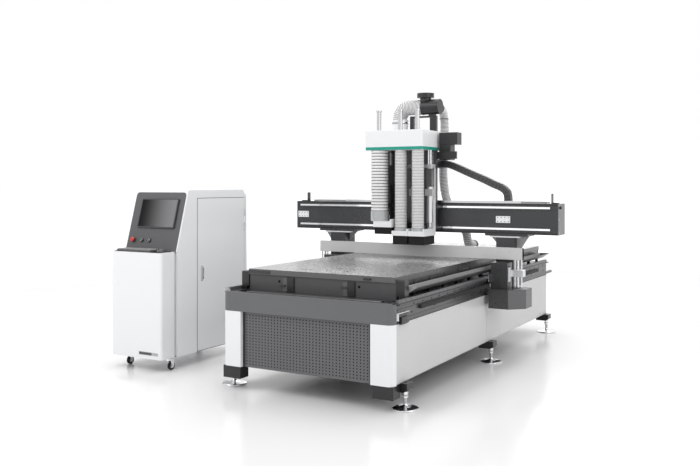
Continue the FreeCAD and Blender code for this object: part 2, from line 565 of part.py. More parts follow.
# chip trays along both sides
TRAY_PARTS = [
    box("ledge_in", "ledge_in + tray_thick", "tray_start", "tray_end", "tray_inner_low", "tray_inner_top"),
    prism("XZ", [("ledge_in", "tray_inner_low"), ("tray_valley_x", "tray_valley_z"),
                 ("tray_valley_x", "tray_valley_z + tray_thick"),
                 ("ledge_in + tray_thick", "tray_inner_low")], "tray_start", "tray_end"),
    prism("XZ", [("tray_valley_x", "tray_valley_z"), ("tray_tip_x", "tray_tip_z"),
                 ("tray_tip_x", "tray_tip_z + tray_thick"),
                 ("tray_valley_x", "tray_valley_z + tray_thick")], "tray_start", "tray_end"),
]
LID = prism("XZ", [("ledge_in", "tray_inner_top"), ("ledge_in", "tray_inner_low"),
                   ("tray_valley_x", "tray_valley_z"), ("tray_tip_x", "tray_tip_z"),
                   ("tray_tip_x", "tray_inner_top")], "tray_start - tray_thick", "tray_start")
LID_REAR = prism("XZ", [("ledge_in", "tray_inner_top"), ("ledge_in", "tray_inner_low"),
                        ("tray_valley_x", "tray_valley_z"), ("tray_tip_x", "tray_tip_z"),
                        ("tray_tip_x", "tray_inner_top")], "tray_end", "tray_end + tray_thick")
node("chip_trays", both(*(TRAY_PARTS + [LID, LID_REAR])))

# locating cylinders and their pins
POP = cut(box("pop_in", "pop_out", "pop_front", "pop_rear", "pop_low", "pop_high"),
          rod("Z", "pin_radius + pin_fit", "pin_x", "pin_y", "pin_bore_low", "pop_high"))
POP_FOOT = box("pop_foot_in", "pop_foot_out", "pop_front", "pop_rear", DECK_TOP, "pop_low")
node("locating_cylinders", both(POP, POP_FOOT))
node("locating_pins", both(rod("Z", "pin_radius", "pin_x", "pin_y", "pin_low", "pin_top - pin_low")))

# control cabinet
SLOPE = "(slope_head_y - slope_foot_y) / (slope_head_z - slope_foot_z)"


def lean(height, back="0"):
    return "slope_foot_y + (%s - slope_foot_z) * %s + (%s)" % (height, SLOPE, back)


SIDE = [("cab_body_front", "cab_low"), ("cab_rear", "cab_low"), ("cab_rear", "cab_round_z"),
        ("cab_round_y", "cab_top"), ("cab_top_front", "cab_top"),
        ("slope_head_y + console_thick", "slope_head_z"), ("slope_foot_y + console_thick", "slope_foot_z"),
        ("cab_body_front", "slope_foot_z")]
INSIDE_L = "-cab_left + cab_skin"
INSIDE_R = "-cab_right - cab_skin"
OPEN_FRONT = "door_front + door_frame"
OPEN_REAR = "door_rear - door_frame"
OPEN_LOW = "door_low + door_frame"
OPEN_HIGH = "door_high - door_frame"
FRONT_STRIP = [("cab_body_front", "cab_low"), (OPEN_FRONT, "cab_low"), (OPEN_FRONT, "cab_top"),
               ("cab_top_front", "cab_top"), ("slope_head_y + console_thick", "slope_head_z"),
               ("slope_foot_y + console_thick", "slope_foot_z"), ("cab_body_front", "slope_foot_z")]
CABINET = [
    prism("YZ", SIDE, "-cab_left", INSIDE_L),
    prism("YZ", FRONT_STRIP, INSIDE_R, "-cab_right"),
    prism("YZ", [(OPEN_REAR, "cab_low"), ("cab_rear", "cab_low"), ("cab_rear", "cab_round_z"),
                 (OPEN_REAR, "cab_round_z")], INSIDE_R, "-cab_right"),
    prism("YZ", [(OPEN_FRONT, OPEN_HIGH), (OPEN_REAR, OPEN_HIGH), (OPEN_REAR, "cab_round_z"),
                 ("cab_rear", "cab_round_z"), ("cab_round_y", "cab_top"), (OPEN_FRONT, "cab_top")],
          INSIDE_R, "-cab_right"),
    box(INSIDE_R, "-cab_right", OPEN_FRONT, OPEN_REAR, "cab_low", OPEN_LOW),
    box(INSIDE_L, INSIDE_R, "cab_body_front", "cab_rear", "cab_low", "cab_low + cab_skin"),
    box(INSIDE_L, INSIDE_R, "cab_rear - cab_skin", "cab_rear", "cab_low + cab_skin", "cab_round_z"),
    box(INSIDE_L, INSIDE_R, "cab_top_front", "cab_round_y", "cab_top - cab_skin", "cab_top"),
    prism("YZ", [("cab_round_y", "cab_top"), ("cab_round_y", "cab_top - cab_skin"),
                 ("cab_rear - cab_skin", "cab_round_z"), ("cab_rear", "cab_round_z")], INSIDE_L, INSIDE_R),
    prism("YZ", [("cab_top_front", "cab_top"), ("cab_top_front", "cab_top - cab_skin"),
                 ("slope_head_y + 2 * console_thick", "slope_head_z"),
                 ("slope_head_y + console_thick", "slope_head_z")], INSIDE_L, INSIDE_R),
    box(INSIDE_L, INSIDE_R, "cab_body_front", "cab_body_front + cab_skin", "cab_low + cab_skin",
        "slope_foot_z"),
]
# fittings inside: a mounting plate with drives and breakers on it
PLATE_Y = "inner_plate_y"
CABINET.append(box(INSIDE_L, "-cab_right - rim_bar", PLATE_Y, "%s + cab_skin" % PLATE_Y,
                   "cab_low + cab_skin", "cab_round_z - cab_skin"))
DRIVES = 3
for number in range(DRIVES):
    left = "-drive_first + drive_pitch * %d" % number
    CABINET.append(box(left, left + " + drive_wide", "inner_plate_y - drive_deep", "inner_plate_y",
                       "drive_low", "drive_low + drive_high"))
CABINET.append(box("-drive_first", "-drive_first + 3 * drive_wide", "inner_plate_y - breaker_high",
                   "inner_plate_y", "breaker_low", "breaker_low + breaker_high"))

# the cover in front of the cabinet, with the casters below
COVER_L = "-cab_left + cover_in"
COVER_R = "-cab_right - cover_in"
COVER = [
    cut(box(COVER_L, COVER_R, "cover_front", "cover_front + cab_skin", "cab_low", "cover_top"),
        box("-slot_left", "-slot_right", "cover_front - cab_skin", "cover_front + 2 * cab_skin",
            "slot_low", "slot_high")),
    box(COVER_L, COVER_L + " + cab_skin", "cover_front + cab_skin", "cover_rear", "cab_low", "cover_top"),
    box(COVER_R + " - cab_skin", COVER_R, "cover_front + cab_skin", "cover_rear", "cab_low", "cover_top"),
    box(COVER_L + " + cab_skin", COVER_R + " - cab_skin", "cover_front + cab_skin", "cover_rear",
        "cover_top - cab_skin", "cover_top"),
    box(COVER_L + " + cab_skin", COVER_R + " - cab_skin", "cover_front + cab_skin", "cover_rear",
        "cab_low", "cab_low + cab_skin"),
    box(COVER_L + " + cab_skin", COVER_R + " - cab_skin", "cover_rear", "cab_body_front",
        "cab_low", "cab_low + cab_skin"),
    box(COVER_L + " + cab_skin", COVER_R + " - cab_skin", "cover_rear", "cab_body_front",
        "cover_top - 2 * cab_skin", "cover_top - cab_skin"),
]
FORKS = []
WHEELS = []
for spot in ("caster_left", "caster_right"):
    x = "-" + spot
    hole = rod("Z", "king_radius + axle_fit", x, "swivel_y", "swivel_plate_low - cab_skin", "cab_low")
    COVER.append(cut(box(x + " - swivel_plate_half", x + " + swivel_plate_half",
                         "swivel_y - swivel_plate_half", "swivel_y + swivel_plate_half",
                         "swivel_plate_low", "cab_low"), hole))
    wheel_y = "swivel_y + trail"
    crown = rod("Z", "swivel_plate_half - cab_skin", x, "swivel_y", "fork_plate_low",
                "swivel_seam - fork_plate_low")
    deck = box(x + " - cheek_out", x + " + cheek_out", "swivel_y", wheel_y + " + cheek_half",
               "fork_plate_low", "swivel_seam")
    one = box(x + " + cheek_in", x + " + cheek_out", wheel_y + " - cheek_half", wheel_y + " + cheek_half",
              "fork_low", "fork_plate_low")
    two = box(x + " - cheek_out", x + " - cheek_in", wheel_y + " - cheek_half", wheel_y + " + cheek_half",
              "fork_low", "fork_plate_low")
    king = rod("Z", "king_radius", x, "swivel_y", "swivel_seam", "king_top - swivel_seam")
    axle = rod("X", "axle_radius", x + " - cheek_in", wheel_y, "wheel_radius", "2 * cheek_in")
    FORKS.append(join(crown, deck, one, two, king, axle))
    WHEELS.append(cut(rod("X", "wheel_radius", x + " - wheel_half", wheel_y, "wheel_radius", "2 * wheel_half"),
                      rod("X", "axle_radius + axle_fit", x + " - cheek_in", wheel_y, "wheel_radius",
                          "2 * cheek_in")))
REAR_WHEELS = []
for spot in ("caster_left", "caster_right"):
    x = "-" + spot
    y = "rear_caster_y"
    deck = box(x + " - cheek_out", x + " + cheek_out", y + " - swivel_plate_half", y + " + swivel_plate_half",
               "fork_plate_low", "cab_low")
    one = box(x + " + cheek_in", x + " + cheek_out", y + " - cheek_half", y + " + cheek_half",
              "fork_low", "fork_plate_low")
    two = box(x + " - cheek_out", x + " - cheek_in", y + " - cheek_half", y + " + cheek_half",
              "fork_low", "fork_plate_low")
    axle = rod("X", "axle_radius", x + " - cheek_in", y, "wheel_radius", "2 * cheek_in")
    CABINET.append(join(deck, one, two, axle))
    REAR_WHEELS.append(cut(rod("X", "wheel_radius", x + " - wheel_half", y, "wheel_radius", "2 * wheel_half"),
                           rod("X", "axle_radius + axle_fit", x + " - cheek_in", y, "wheel_radius",
                               "2 * cheek_in")))
# fixed hinge knuckles and their posts
HINGES = 2
for number in range(HINGES):
    low = "knuckle_low + knuckle_pitch * %d" % number
    high = low + " + knuckle_long"
    for start in (low + " - knuckle_long", high):
        CABINET.append(join(rod("Z", "knuckle_radius", "-hinge_x", "hinge_y", start, "knuckle_long"),
                            box("-cab_right", "-hinge_x", "hinge_y", "hinge_y + knuckle_radius",
                                start, start + " + knuckle_long")))
node("cabinet_shell", CABINET)
node("cabinet_cover", COVER)

PANEL = prism("YZ", [("slope_foot_y", "slope_foot_z"), ("slope_foot_y + console_thick", "slope_foot_z"),
                     ("slope_head_y + console_thick", "slope_head_z"), ("slope_head_y", "slope_head_z")],
              "-cab_left + console_in", "-cab_right - console_in")
RUN = size("slope_head_y") - size("slope_foot_y")
CLIMB = size("slope_head_z") - size("slope_foot_z")
FACE_TURN = FreeCAD.Rotation(ALONG_X, math.degrees(math.atan2(CLIMB, RUN)))


def knob(radius, x, start, length):
    # a round piece that stands square to the sloping panel
    piece = doc.addObject("Part::Cylinder", "Knob")
    bind(piece, "Radius", radius)
    bind(piece, "Height", length)
    piece.Placement = FreeCAD.Placement(ZERO, FACE_TURN)
    slant = "sqrt((slope_head_z - slope_foot_z)^2 + (slope_head_y - slope_foot_y)^2)"
    steep = "(slope_head_z - slope_foot_z) / " + slant
    flat = "(slope_head_y - slope_foot_y) / " + slant
    return place(piece, x, "%s - (%s) * %s" % (lean("button_z"), start, steep),
                 "button_z + (%s) * %s" % (start, flat))


COLLARS = ["-" + spot for spot in ("estop_x", "start_x", "stop_x")]
for spot in COLLARS:
    PANEL = cut(PANEL, knob("plunger_radius + plunger_fit", spot, "-3 * console_thick",
                            "6 * console_thick"))
RINGS = [cut(knob("collar_radius", x, "0", "collar_high"),
             knob("plunger_radius + plunger_fit", x, "-collar_high", "3 * collar_high")) for x in COLLARS]
node("console_panel", PANEL, RINGS)
node("estop_button", join(knob("plunger_radius", "-estop_x", "-plunger_tail", "plunger_tail + estop_under"),
                          knob("estop_radius", "-estop_x", "estop_under", "estop_out - estop_under")))
node("start_button", knob("plunger_radius", "-start_x", "-plunger_tail", "plunger_tail + plunger_out"))
node("stop_button", knob("plunger_radius", "-stop_x", "-plunger_tail", "plunger_tail + plunger_out"))
node("monitor", prism("YZ", [
    (lean("screen_low", "-screen_thick"), "screen_low"), (lean("screen_low"), "screen_low"),
    (lean("screen_high"), "screen_high"), (lean("screen_high", "-screen_thick"), "screen_high")],
    "-screen_left", "-screen_right"))
KEYS = box("-key_left", "-key_right", "key_front", "key_rear", "cover_top", "cover_top + key_high")
MOUSE = prism("XY", [("-mouse_x - mouse_wide / 2", "mouse_y - mouse_long / 2"),
                     ("-mouse_x + mouse_wide / 2", "mouse_y - mouse_long / 2"),
                     ("-mouse_x + mouse_wide / 2", "mouse_y + mouse_long / 2"),
                     ("-mouse_x - mouse_wide / 2", "mouse_y + mouse_long / 2")],
              "cover_top", "cover_top + mouse_high", (0, 1, 2, 3), "mouse_wide / 3")
node("keyboard_and_mouse", KEYS, MOUSE)

# cabinet door on its knuckles, with a turning handle
DOOR_X = "-cab_right"
PLATE = box(DOOR_X, DOOR_X + " + door_thick", "door_front", "door_rear", "door_low", "door_high")
RIM_FRONT = OPEN_FRONT + " + rim_in"
RIM_REAR = OPEN_REAR + " - 2 * rim_in"
RIM_LOW = OPEN_LOW + " + rim_in"
RIM_HIGH = OPEN_HIGH + " - rim_in"
RIM = cut(box(DOOR_X + " - rim_thick", DOOR_X, RIM_FRONT, RIM_REAR, RIM_LOW, RIM_HIGH),
          box(DOOR_X + " - 2 * rim_thick", DOOR_X + " + rim_thick", RIM_FRONT + " + rim_bar",
              RIM_REAR + " - rim_bar", RIM_LOW + " + rim_bar", RIM_HIGH + " - rim_bar"))
DOOR = [PLATE, RIM]
for number in range(HINGES):
    low = "knuckle_low + knuckle_pitch * %d + knuckle_gap" % number
    high = low + " + knuckle_long - 2 * knuckle_gap"
    DOOR.append(rod("Z", "knuckle_radius", "-hinge_x", "hinge_y", low, "knuckle_long - 2 * knuckle_gap"))
    DOOR.append(box(DOOR_X + " + knuckle_gap", "-hinge_x", "door_rear - 2 * knuckle_radius", "hinge_y",
                    low, high))
DOOR.append(box(DOOR_X + " + door_thick", DOOR_X + " + door_thick + lever_plate", "lever_y - lever_wide / 2",
                "lever_y + lever_wide / 2", "lever_low", "lever_high"))
DOOR = join(*DOOR)
PIVOT = "%s + door_thick" % DOOR_X
DOOR = cut(DOOR, rod("X", "pivot_radius + axle_fit", PIVOT, "lever_y", "lever_pivot", "2 * lever_plate"))
node("cabinet_door", DOOR)
node("door_handle", join(
    rod("X", "pivot_radius", PIVOT, "lever_y", "lever_pivot", "lever_plate + 2 * knuckle_gap"),
    box(PIVOT + " + lever_plate + knuckle_gap", PIVOT + " + lever_plate + knuckle_gap + lever_thick",
        "lever_y - lever_wide / 2", "lever_y + lever_wide / 2", "lever_low", "lever_high")))
node("caster_fork_left", FORKS[0])
node("caster_fork_right", FORKS[1])
node("caster_wheel_left", WHEELS[0])
node("caster_wheel_right", WHEELS[1])
node("rear_caster_wheels", REAR_WHEELS)

# gantry beam and its fittings
node("gantry_beam", beam("-gantry_half", "gantry_half", "gantry_front", "gantry_rear", "gantry_low",
                         "gantry_top", "gantry_wall", "X"))
FITTINGS = both(box("gantry_half", "gantry_half + cap_thick", "gantry_front", "gantry_rear",
                    "gantry_low", "gantry_top"))
FITTINGS.append(rod("X", "knob_radius", "gantry_half + cap_thick", "knob_y", "knob_z", "knob_out"))
FITTINGS.append(join(
    box("-post_left_foot", "-post_left_x", "post_front", "post_rear", "gantry_top", "post_foot_high"),
    box("-post_left_x - post_thick", "-post_left_x", "post_front", "post_rear", "gantry_top", "post_high")))
FITTINGS.append(join(
    box("post_right_x", "post_right_foot", "post_front", "post_rear", "gantry_top", "post_foot_high"),
    box("post_right_x", "post_right_x + post_thick", "post_front", "post_rear", "gantry_top", "post_high")))
CHANNEL = [
    box("-trough_left", "trough_right", "trough_front", "trough_rear", "gantry_top",
        "gantry_top + trough_floor"),
    box("-trough_left", "trough_right", "trough_front", "trough_front + trough_floor",
        "gantry_top + trough_floor", "gantry_top + trough_wall"),
    box("-trough_left", "trough_right", "trough_rear - trough_floor", "trough_rear",
        "gantry_top + trough_floor", "gantry_top + trough_wall")]
FITTINGS += CHANNEL
FITTINGS.append(box("-plate_left_out", "-plate_left_in", "plate_front", "gantry_front",
                    "plate_left_low", "plate_left_high"))
FITTINGS.append(box("plate_right_in", "plate_right_out", "plate_front", "gantry_front",
                    "plate_right_low", "plate_right_high"))
node("beam_fittings", FITTINGS)

# legs
COLUMN_TOP = "gantry_low - flange_thick"
LEG = [
    box("column_in", "column_out", "gantry_front", "gantry_front + gantry_wall", "column_low", COLUMN_TOP),
    box("column_in", "column_out", "gantry_rear - gantry_wall", "gantry_rear", "column_low", COLUMN_TOP),
    box("column_in", "column_in + gantry_wall", "gantry_front + gantry_wall", "gantry_rear - gantry_wall",
        "column_low", COLUMN_TOP),
    box("column_out - gantry_wall", "column_out", "gantry_front + gantry_wall", "gantry_rear - gantry_wall",
        "column_low", COLUMN_TOP),
    box("flange_in", "flange_out", "gantry_front", "gantry_rear", COLUMN_TOP, "gantry_low"),
    prism("XZ", [("column_out", COLUMN_TOP), ("column_out + gusset_reach", COLUMN_TOP),
                 ("column_out", COLUMN_TOP + " - gusset_drop")], "gusset_front", "gusset_rear"),
    prism("XZ", [("column_in", COLUMN_TOP), ("column_in", COLUMN_TOP + " - gusset_inner_drop"),
                 ("gusset_inner_x", COLUMN_TOP)], "gusset_front", "gusset_rear"),
]
node("gantry_legs", both(*LEG))

# covers over the drives at the foot of each leg, open towards the bed
OUT = [("column_in", "drive_front"), ("drive_face", "drive_front"), ("drive_out", "drive_turn"),
       ("drive_out", "drive_back"), ("column_in", "drive_back")]
COVERS = [
    cut(prism("XY", OUT, "column_low - drive_skin", "column_low"),
        rod("Z", "pinion_shaft + shaft_fit", "pinion_x", "pinion_y", "column_low - 2 * drive_skin",
            "3 * drive_skin")),
    prism("XY", OUT, "cover_low", "cover_low + drive_skin"),
    box("column_in", "drive_face", "drive_front", "drive_front + drive_skin", "cover_low + drive_skin",
        "column_low - drive_skin"),
    prism("XY", [("drive_face", "drive_front"), ("drive_out", "drive_turn"),
                 ("drive_out", "drive_turn + drive_skin"), ("drive_face", "drive_front + drive_skin")],
          "cover_low + drive_skin", "column_low - drive_skin"),
    box("drive_out - drive_skin", "drive_out", "drive_turn + drive_skin", "drive_back",
        "cover_low + drive_skin", "column_low - drive_skin"),
    box("column_in", "drive_out - drive_skin", "drive_back - drive_skin", "drive_back",
        "cover_low + drive_skin", "column_low - drive_skin"),
    box("column_in", "hatch_out", "hatch_front", "hatch_front + drive_skin", "column_low", "hatch_top"),
    box("hatch_out - drive_skin", "hatch_out", "hatch_front + drive_skin", "gantry_front", "column_low",
        "hatch_top"),
    box("column_in", "hatch_out - drive_skin", "hatch_front + drive_skin", "gantry_front",
        "hatch_top - drive_skin", "hatch_top"),
]
node("drive_covers", both(*COVERS))

# carriages on the long rails
TRUCKS = [box("slide_plate_in", "column_in", "slide_plate_front", "slide_plate_rear", "slide_plate_low",
              "slide_plate_high")]
for start in ("truck_front", "truck_back"):
    block = box("truck_in", "slide_plate_in", start, start + " + truck_long", "truck_low", "truck_high")
    way = box("guide_in - slide_gap", "guide_out + slide_gap", start + " - truck_long",
              start + " + 2 * truck_long", "beam_top", "%s + guide_high + slide_gap" % DECK_TOP)
    TRUCKS.append(cut(block, way))
node("y_carriages", both(*TRUCKS))

GEARBOX = cut(box("gearbox_in", "gearbox_out", "gearbox_front", "gearbox_rear", "gearbox_low",
                  "column_low - drive_skin"),
              rod("Z", "pinion_shaft + shaft_fit", "pinion_x", "pinion_y", "pinion_shaft_low - slide_gap",
                  "column_low - pinion_shaft_low"))
MOTOR = rod("Z", "motor_radius", "motor_x", "pinion_y", "motor_low", "gearbox_low - motor_low")
node("y_motors", both(GEARBOX, MOTOR))

# lifts for the pusher bar
LIFT = box("hatch_out", "lift_out", "lift_front", "lift_rear", "lift_low", "lift_high")
for spot, radius in (("rod_one", "rod_radius"), ("rod_two", "ram_radius"), ("rod_three", "rod_radius")):
    LIFT = cut(LIFT, rod("Z", radius + " + rod_fit", spot, "rod_y", "lift_low - rod_radius",
                         "lift_high - lift_low + 2 * rod_radius"))
EAR = box("hatch_out", "lift_flange_out", "lift_flange_front", "lift_front", "lift_flange_low",
          "lift_flange_high")
node("lift_blocks", both(LIFT, EAR))
BAR = [beam("-bar_half", "bar_half", "bar_front", "bar_rear", "bar_low", "bar_high", "bar_wall", "X")]
for spot, radius in (("rod_one", "rod_radius"), ("rod_two", "ram_radius"), ("rod_three", "rod_radius")):
    BAR += both(rod("Z", radius, spot, "rod_y", "rod_low", "bar_low - rod_low"))
node("pusher_bar", BAR)

# rails and rack on the beam
CROSS = [
    box("-x_rail_left", "x_rail_right", "x_rail_front", "gantry_front", "x_rail_upper",
        "x_rail_upper + x_rail_high"),
    box("-x_rail_left", "x_rail_right", "x_rail_front", "gantry_front", "x_rail_lower",
        "x_rail_lower + x_rail_high"),
    rack("X", size("x_rack_root"), size("x_rack_root") + (1 + size("root_share")) * size("rack_module"),
         size("x_rack_front"), size("gantry_top"), size("gantry_top") + size("x_rack_high"),
         size("x_motor_x"), X_TEETH[0], X_TEETH[1], 1),
]
node("x_rails", CROSS)

# driving pinions
for sign, name in ((1, "pinion_right"), (-1, "pinion_left")):
    turned = math.pi / size("pinion_teeth") + (math.pi if sign > 0 else 0)
    node(name, gear(sign * size("pinion_x"), size("pinion_y"), size("rack_low"), size("rack_high"),
                    size("pinion_shaft"), size("pinion_shaft_low"), size("pinion_shaft_top"), turned))
node("pinion_x", gear(size("x_motor_x"), size("x_motor_y"), size("x_pinion_low"), size("x_pinion_high"),
                      size("x_shaft"), size("x_pinion_low"), size("x_shaft_top"),
                      -math.pi / 2 + math.pi / size("pinion_teeth")))

# cross carriage with its rail trucks, the rails for the three heads and the drive
CART = [box("-cart_left", "cart_right", "cart_front", "cart_rear", "cart_low", "cart_high")]
for left in ("-cart_left", "cart_right - shoe_truck_wide"):
    for level in ("x_rail_upper", "x_rail_lower"):
        low = level + " - x_truck_over"
        high = level + " + x_rail_high + x_truck_over"
        if level == "x_rail_lower":
            CART.append(box(left, left + " + shoe_truck_wide", "cart_front", "cart_rear", low, "cart_low"))
        block = box(left, left + " + shoe_truck_wide", "cart_rear", "x_truck_rear", low, high)
        way = box(left + " - shoe_truck_wide", left + " + 2 * shoe_truck_wide", "x_rail_front - slide_gap",
                  "gantry_front", level + " - slide_gap", level + " + x_rail_high + slide_gap")
        CART.append(cut(block, way))
for x in ("spindle_left_x", "spindle_mid_x", "spindle_right_x"):
    CART.append(box(x + " - z_rail_half", x + " + z_rail_half", "z_rail_front", "cart_front",
                    "z_rail_low", "z_rail_high"))
CART.append(cut(box("x_motor_x - x_motor_plate_half", "x_motor_x + x_motor_plate_half", "cart_rear",
                    "x_motor_plate_rear", "x_motor_plate_low", "x_motor_plate_high"),
                rod("Z", "x_shaft + shaft_fit", "x_motor_x", "x_motor_y", "x_motor_plate_low - x_shaft",
                    "x_motor_plate_high - x_motor_plate_low + 2 * x_shaft")))
node("carriage_plate", CART)

# boxes behind the head, the cross motor and the holder of the cable chain
BOXES = [
    cut(box("x_motor_x - x_motor_half", "x_motor_x + x_motor_half", "x_motor_y - x_motor_half",
            "x_motor_y + x_motor_half", "x_motor_plate_high", "x_motor_high"),
        rod("Z", "x_shaft + shaft_fit", "x_motor_x", "x_motor_y", "x_motor_plate_high - x_shaft",
            "x_shaft_top - x_motor_plate_high + x_shaft + slide_gap")),
    box("arm_left", "arm_right", "arm_front", "arm_rear", "arm_bottom", "arm_top"),
    box("lower_left", "lower_right", "arm_rear", "box_rear", "lower_low", "upper_low"),
    box("lower_left", "arm_right", "arm_rear", "box_rear", "upper_low", "upper_high"),
    box("head_left", "head_right", "arm_front", "chain_rear", "head_low", "head_high"),
]

# hood: five plates and a bottom with room for the guide rods, the plenum inside and the barrels on top
BOTTOM = box("-hood_left + hood_skin", "hood_right - hood_skin", "hood_front + hood_skin",
             "hood_rear - hood_skin", "hood_low", "hood_low + hood_skin")
for x in ("spindle_mid_x", "spindle_right_x"):
    for step in ("0", "guide_rod_step"):
        BOTTOM = cut(BOTTOM, rod("Z", "guide_rod_room", "%s - %s" % (x, step), "guide_rod_y",
                                 "hood_low - hood_skin", "3 * hood_skin"))
HOOD = [
    BOTTOM,
    box("-hood_left", "hood_right", "hood_front", "hood_front + hood_skin", "hood_low", "hood_high"),
    box("-hood_left", "hood_right", "hood_rear - hood_skin", "hood_rear", "hood_low", "hood_high"),
    box("-hood_left", "-hood_left + hood_skin", "hood_front + hood_skin", "hood_rear - hood_skin",
        "hood_low", "hood_high"),
    box("hood_right - hood_skin", "hood_right", "hood_front + hood_skin", "hood_rear - hood_skin",
        "hood_low", "hood_high"),
    box("-hood_left + hood_skin", "hood_right - hood_skin", "hood_front + hood_skin",
        "hood_rear - hood_skin", "hood_high - hood_skin", "hood_high"),
    beam("-plenum_left", "plenum_right", "plenum_front", "plenum_rear", "plenum_low", "plenum_high",
         "hood_skin", "X"),
    box("-plenum_left", "plenum_right", "plenum_front", "plenum_rear", "hood_low + hood_skin", "plenum_low"),
]
for x in ("barrel_left_x", "barrel_mid_x", "barrel_right_x"):
    HOOD.append(join(rod("Z", "barrel_radius", x, "barrel_y", "hood_high", "barrel_top - hood_high"),
                     rod("Z", "barrel_cap_radius", x, "barrel_y", "barrel_top - barrel_cap", "barrel_cap")))

# tee piece, its frame and the stub on the hood
def sleeve(axis, radius, wall, x, y, z, length):
    return cut(rod(axis, radius, x, y, z, length), rod(axis, "%s - %s" % (radius, wall), x, y, z, length))


TEE_RUN = rod("X", "duct_radius", "tee_start", "duct_y", "duct_z", "tee_end - tee_start")
NECK = rod("Z", "neck_radius", "neck_x", "duct_y", "duct_z", "lid_low - duct_z")
LID_TOP = rod("Z", "lid_radius", "neck_x", "duct_y", "lid_low", "lid_high - lid_low")
BRANCH = rod("Y", "branch_radius", "branch_x", "duct_y", "duct_z", "branch_end - duct_y")
TEE = join(TEE_RUN, NECK, LID_TOP, BRANCH)
TEE = cut(TEE,
          rod("X", "duct_radius + slide_gap", "neck_x - 2 * neck_radius", "duct_y", "duct_z",
              "tee_start - (neck_x - 2 * neck_radius)"),
          rod("X", "duct_radius - duct_wall", "tee_start", "duct_y", "duct_z",
              "tee_end - tee_start - duct_wall"),
          rod("Z", "neck_radius - duct_wall", "neck_x", "duct_y", "duct_z", "lid_low - duct_z"),
          rod("Y", "branch_radius - duct_wall", "branch_x", "duct_y", "duct_z", "branch_end - duct_y"))
MAST = [
    box("-mast_left_out", "-mast_left_in", "mast_front", "mast_rear", "hood_high", "mast_top - mast_bar"),
    box("mast_right_in", "mast_right_out", "mast_front", "mast_rear", "hood_high", "mast_top - mast_bar"),
    box("-mast_left_out", "mast_right_out", "mast_front", "mast_rear", "mast_top - mast_bar", "mast_top"),
    cut(box("branch_x - saddle_half", "branch_x + saddle_half", "mast_front", "mast_rear", "mast_top",
            "mast_top + saddle_high"),
        rod("X", "duct_radius", "tee_start", "duct_y", "duct_z", "tee_end - tee_start")),
]
BAND = cut(rod("Y", "branch_radius + band_more", "branch_x", "branch_end - 2 * band_half", "duct_z",
               "2 * band_half"),
           rod("Y", "branch_radius", "branch_x", "branch_end - 3 * band_half", "duct_z", "4 * band_half"))
STUB = sleeve("Z", "stub_radius", "duct_wall", "stub_x", "duct_y", "hood_high", "stub_top - hood_high")
STUB_BAND = cut(rod("Z", "stub_radius + band_more", "stub_x", "duct_y", "stub_top - 2 * band_half",
                    "2 * band_half"),
                rod("Z", "stub_radius", "stub_x", "duct_y", "stub_top - 3 * band_half", "4 * band_half"))
node("duct_tee", TEE, BAND)
node("head_boxes", BOXES, MAST)
node("hood", HOOD, STUB, STUB_BAND)

# ribbed hoses: the elbow from the stub to the tee and the long drop behind the beam
RIB = size("rib_pitch")
STUB_SPOT = FreeCAD.Vector(size("stub_x"), size("duct_y"), size("stub_top"))
TURN = size("bend_radius")
RISE = size("duct_z") - TURN
BEND_START = FreeCAD.Vector(size("stub_x"), size("duct_y"), RISE)
BEND_END = FreeCAD.Vector(size("stub_x") + TURN, size("duct_y"), size("duct_z"))
BEND_CENTRE = FreeCAD.Vector(size("stub_x") + TURN, size("duct_y"), RISE)
HALF_WAY = BEND_CENTRE + (ALONG_Z - ALONG_X) * (TURN * math.sqrt(0.5))
ELBOW = Part.Wire([
    Part.makeLine(STUB_SPOT, BEND_START),
    Part.Arc(BEND_START, HALF_WAY, BEND_END).toShape(),
    Part.makeLine(BEND_END, FreeCAD.Vector(size("tee_start"), size("duct_y"), size("duct_z")))])
ELBOW_HOSE = hose(along(ELBOW, RIB), size("duct_radius"), size("rib_deep"),
                  size("duct_radius") - size("rib_deep") - size("duct_wall"), ALONG_Y)
DROP_X = size("branch_x")
DROP_Y = size("drop_y")
LAST_BEND = size("drop_turn") * (1 - math.sqrt(0.5))
DROP = bend([
    FreeCAD.Vector(DROP_X, size("branch_end"), size("duct_z")),
    FreeCAD.Vector(DROP_X, size("branch_end") + size("drop_lead"), size("duct_z") - size("drop_ease")),
    FreeCAD.Vector(DROP_X, DROP_Y, size("duct_z") - (DROP_Y - size("branch_end"))),
    FreeCAD.Vector(DROP_X, DROP_Y, (size("duct_z") + size("drop_one")) / 2),
    FreeCAD.Vector(DROP_X, DROP_Y, size("drop_one")),
    FreeCAD.Vector(size("drop_two_x"), DROP_Y, size("drop_two")),
    FreeCAD.Vector(size("drop_three_x"), DROP_Y, size("drop_three")),
    FreeCAD.Vector(size("drop_four_x"), DROP_Y, size("drop_four")),
    FreeCAD.Vector(size("drop_end_x"), DROP_Y + LAST_BEND, size("drop_end") + LAST_BEND),
    FreeCAD.Vector(size("drop_end_x"), DROP_Y + size("drop_turn"), size("drop_end")),
    FreeCAD.Vector(size("drop_end_x"), size("drop_back"), size("drop_end"))], RIB)
DROP_HOSE = hose(DROP, size("branch_radius"), size("rib_deep"),
                 size("branch_radius") - size("rib_deep") - size("duct_wall"), ALONG_X)
OUTLET = cut(rod("Y", "branch_radius + outlet_more", "drop_end_x", "drop_back", "drop_end", "outlet_long"),
             rod("Y", "branch_radius - duct_wall", "drop_end_x", "drop_back", "drop_end", "outlet_long"))
node("duct_hoses", ELBOW_HOSE, DROP_HOSE, OUTLET)

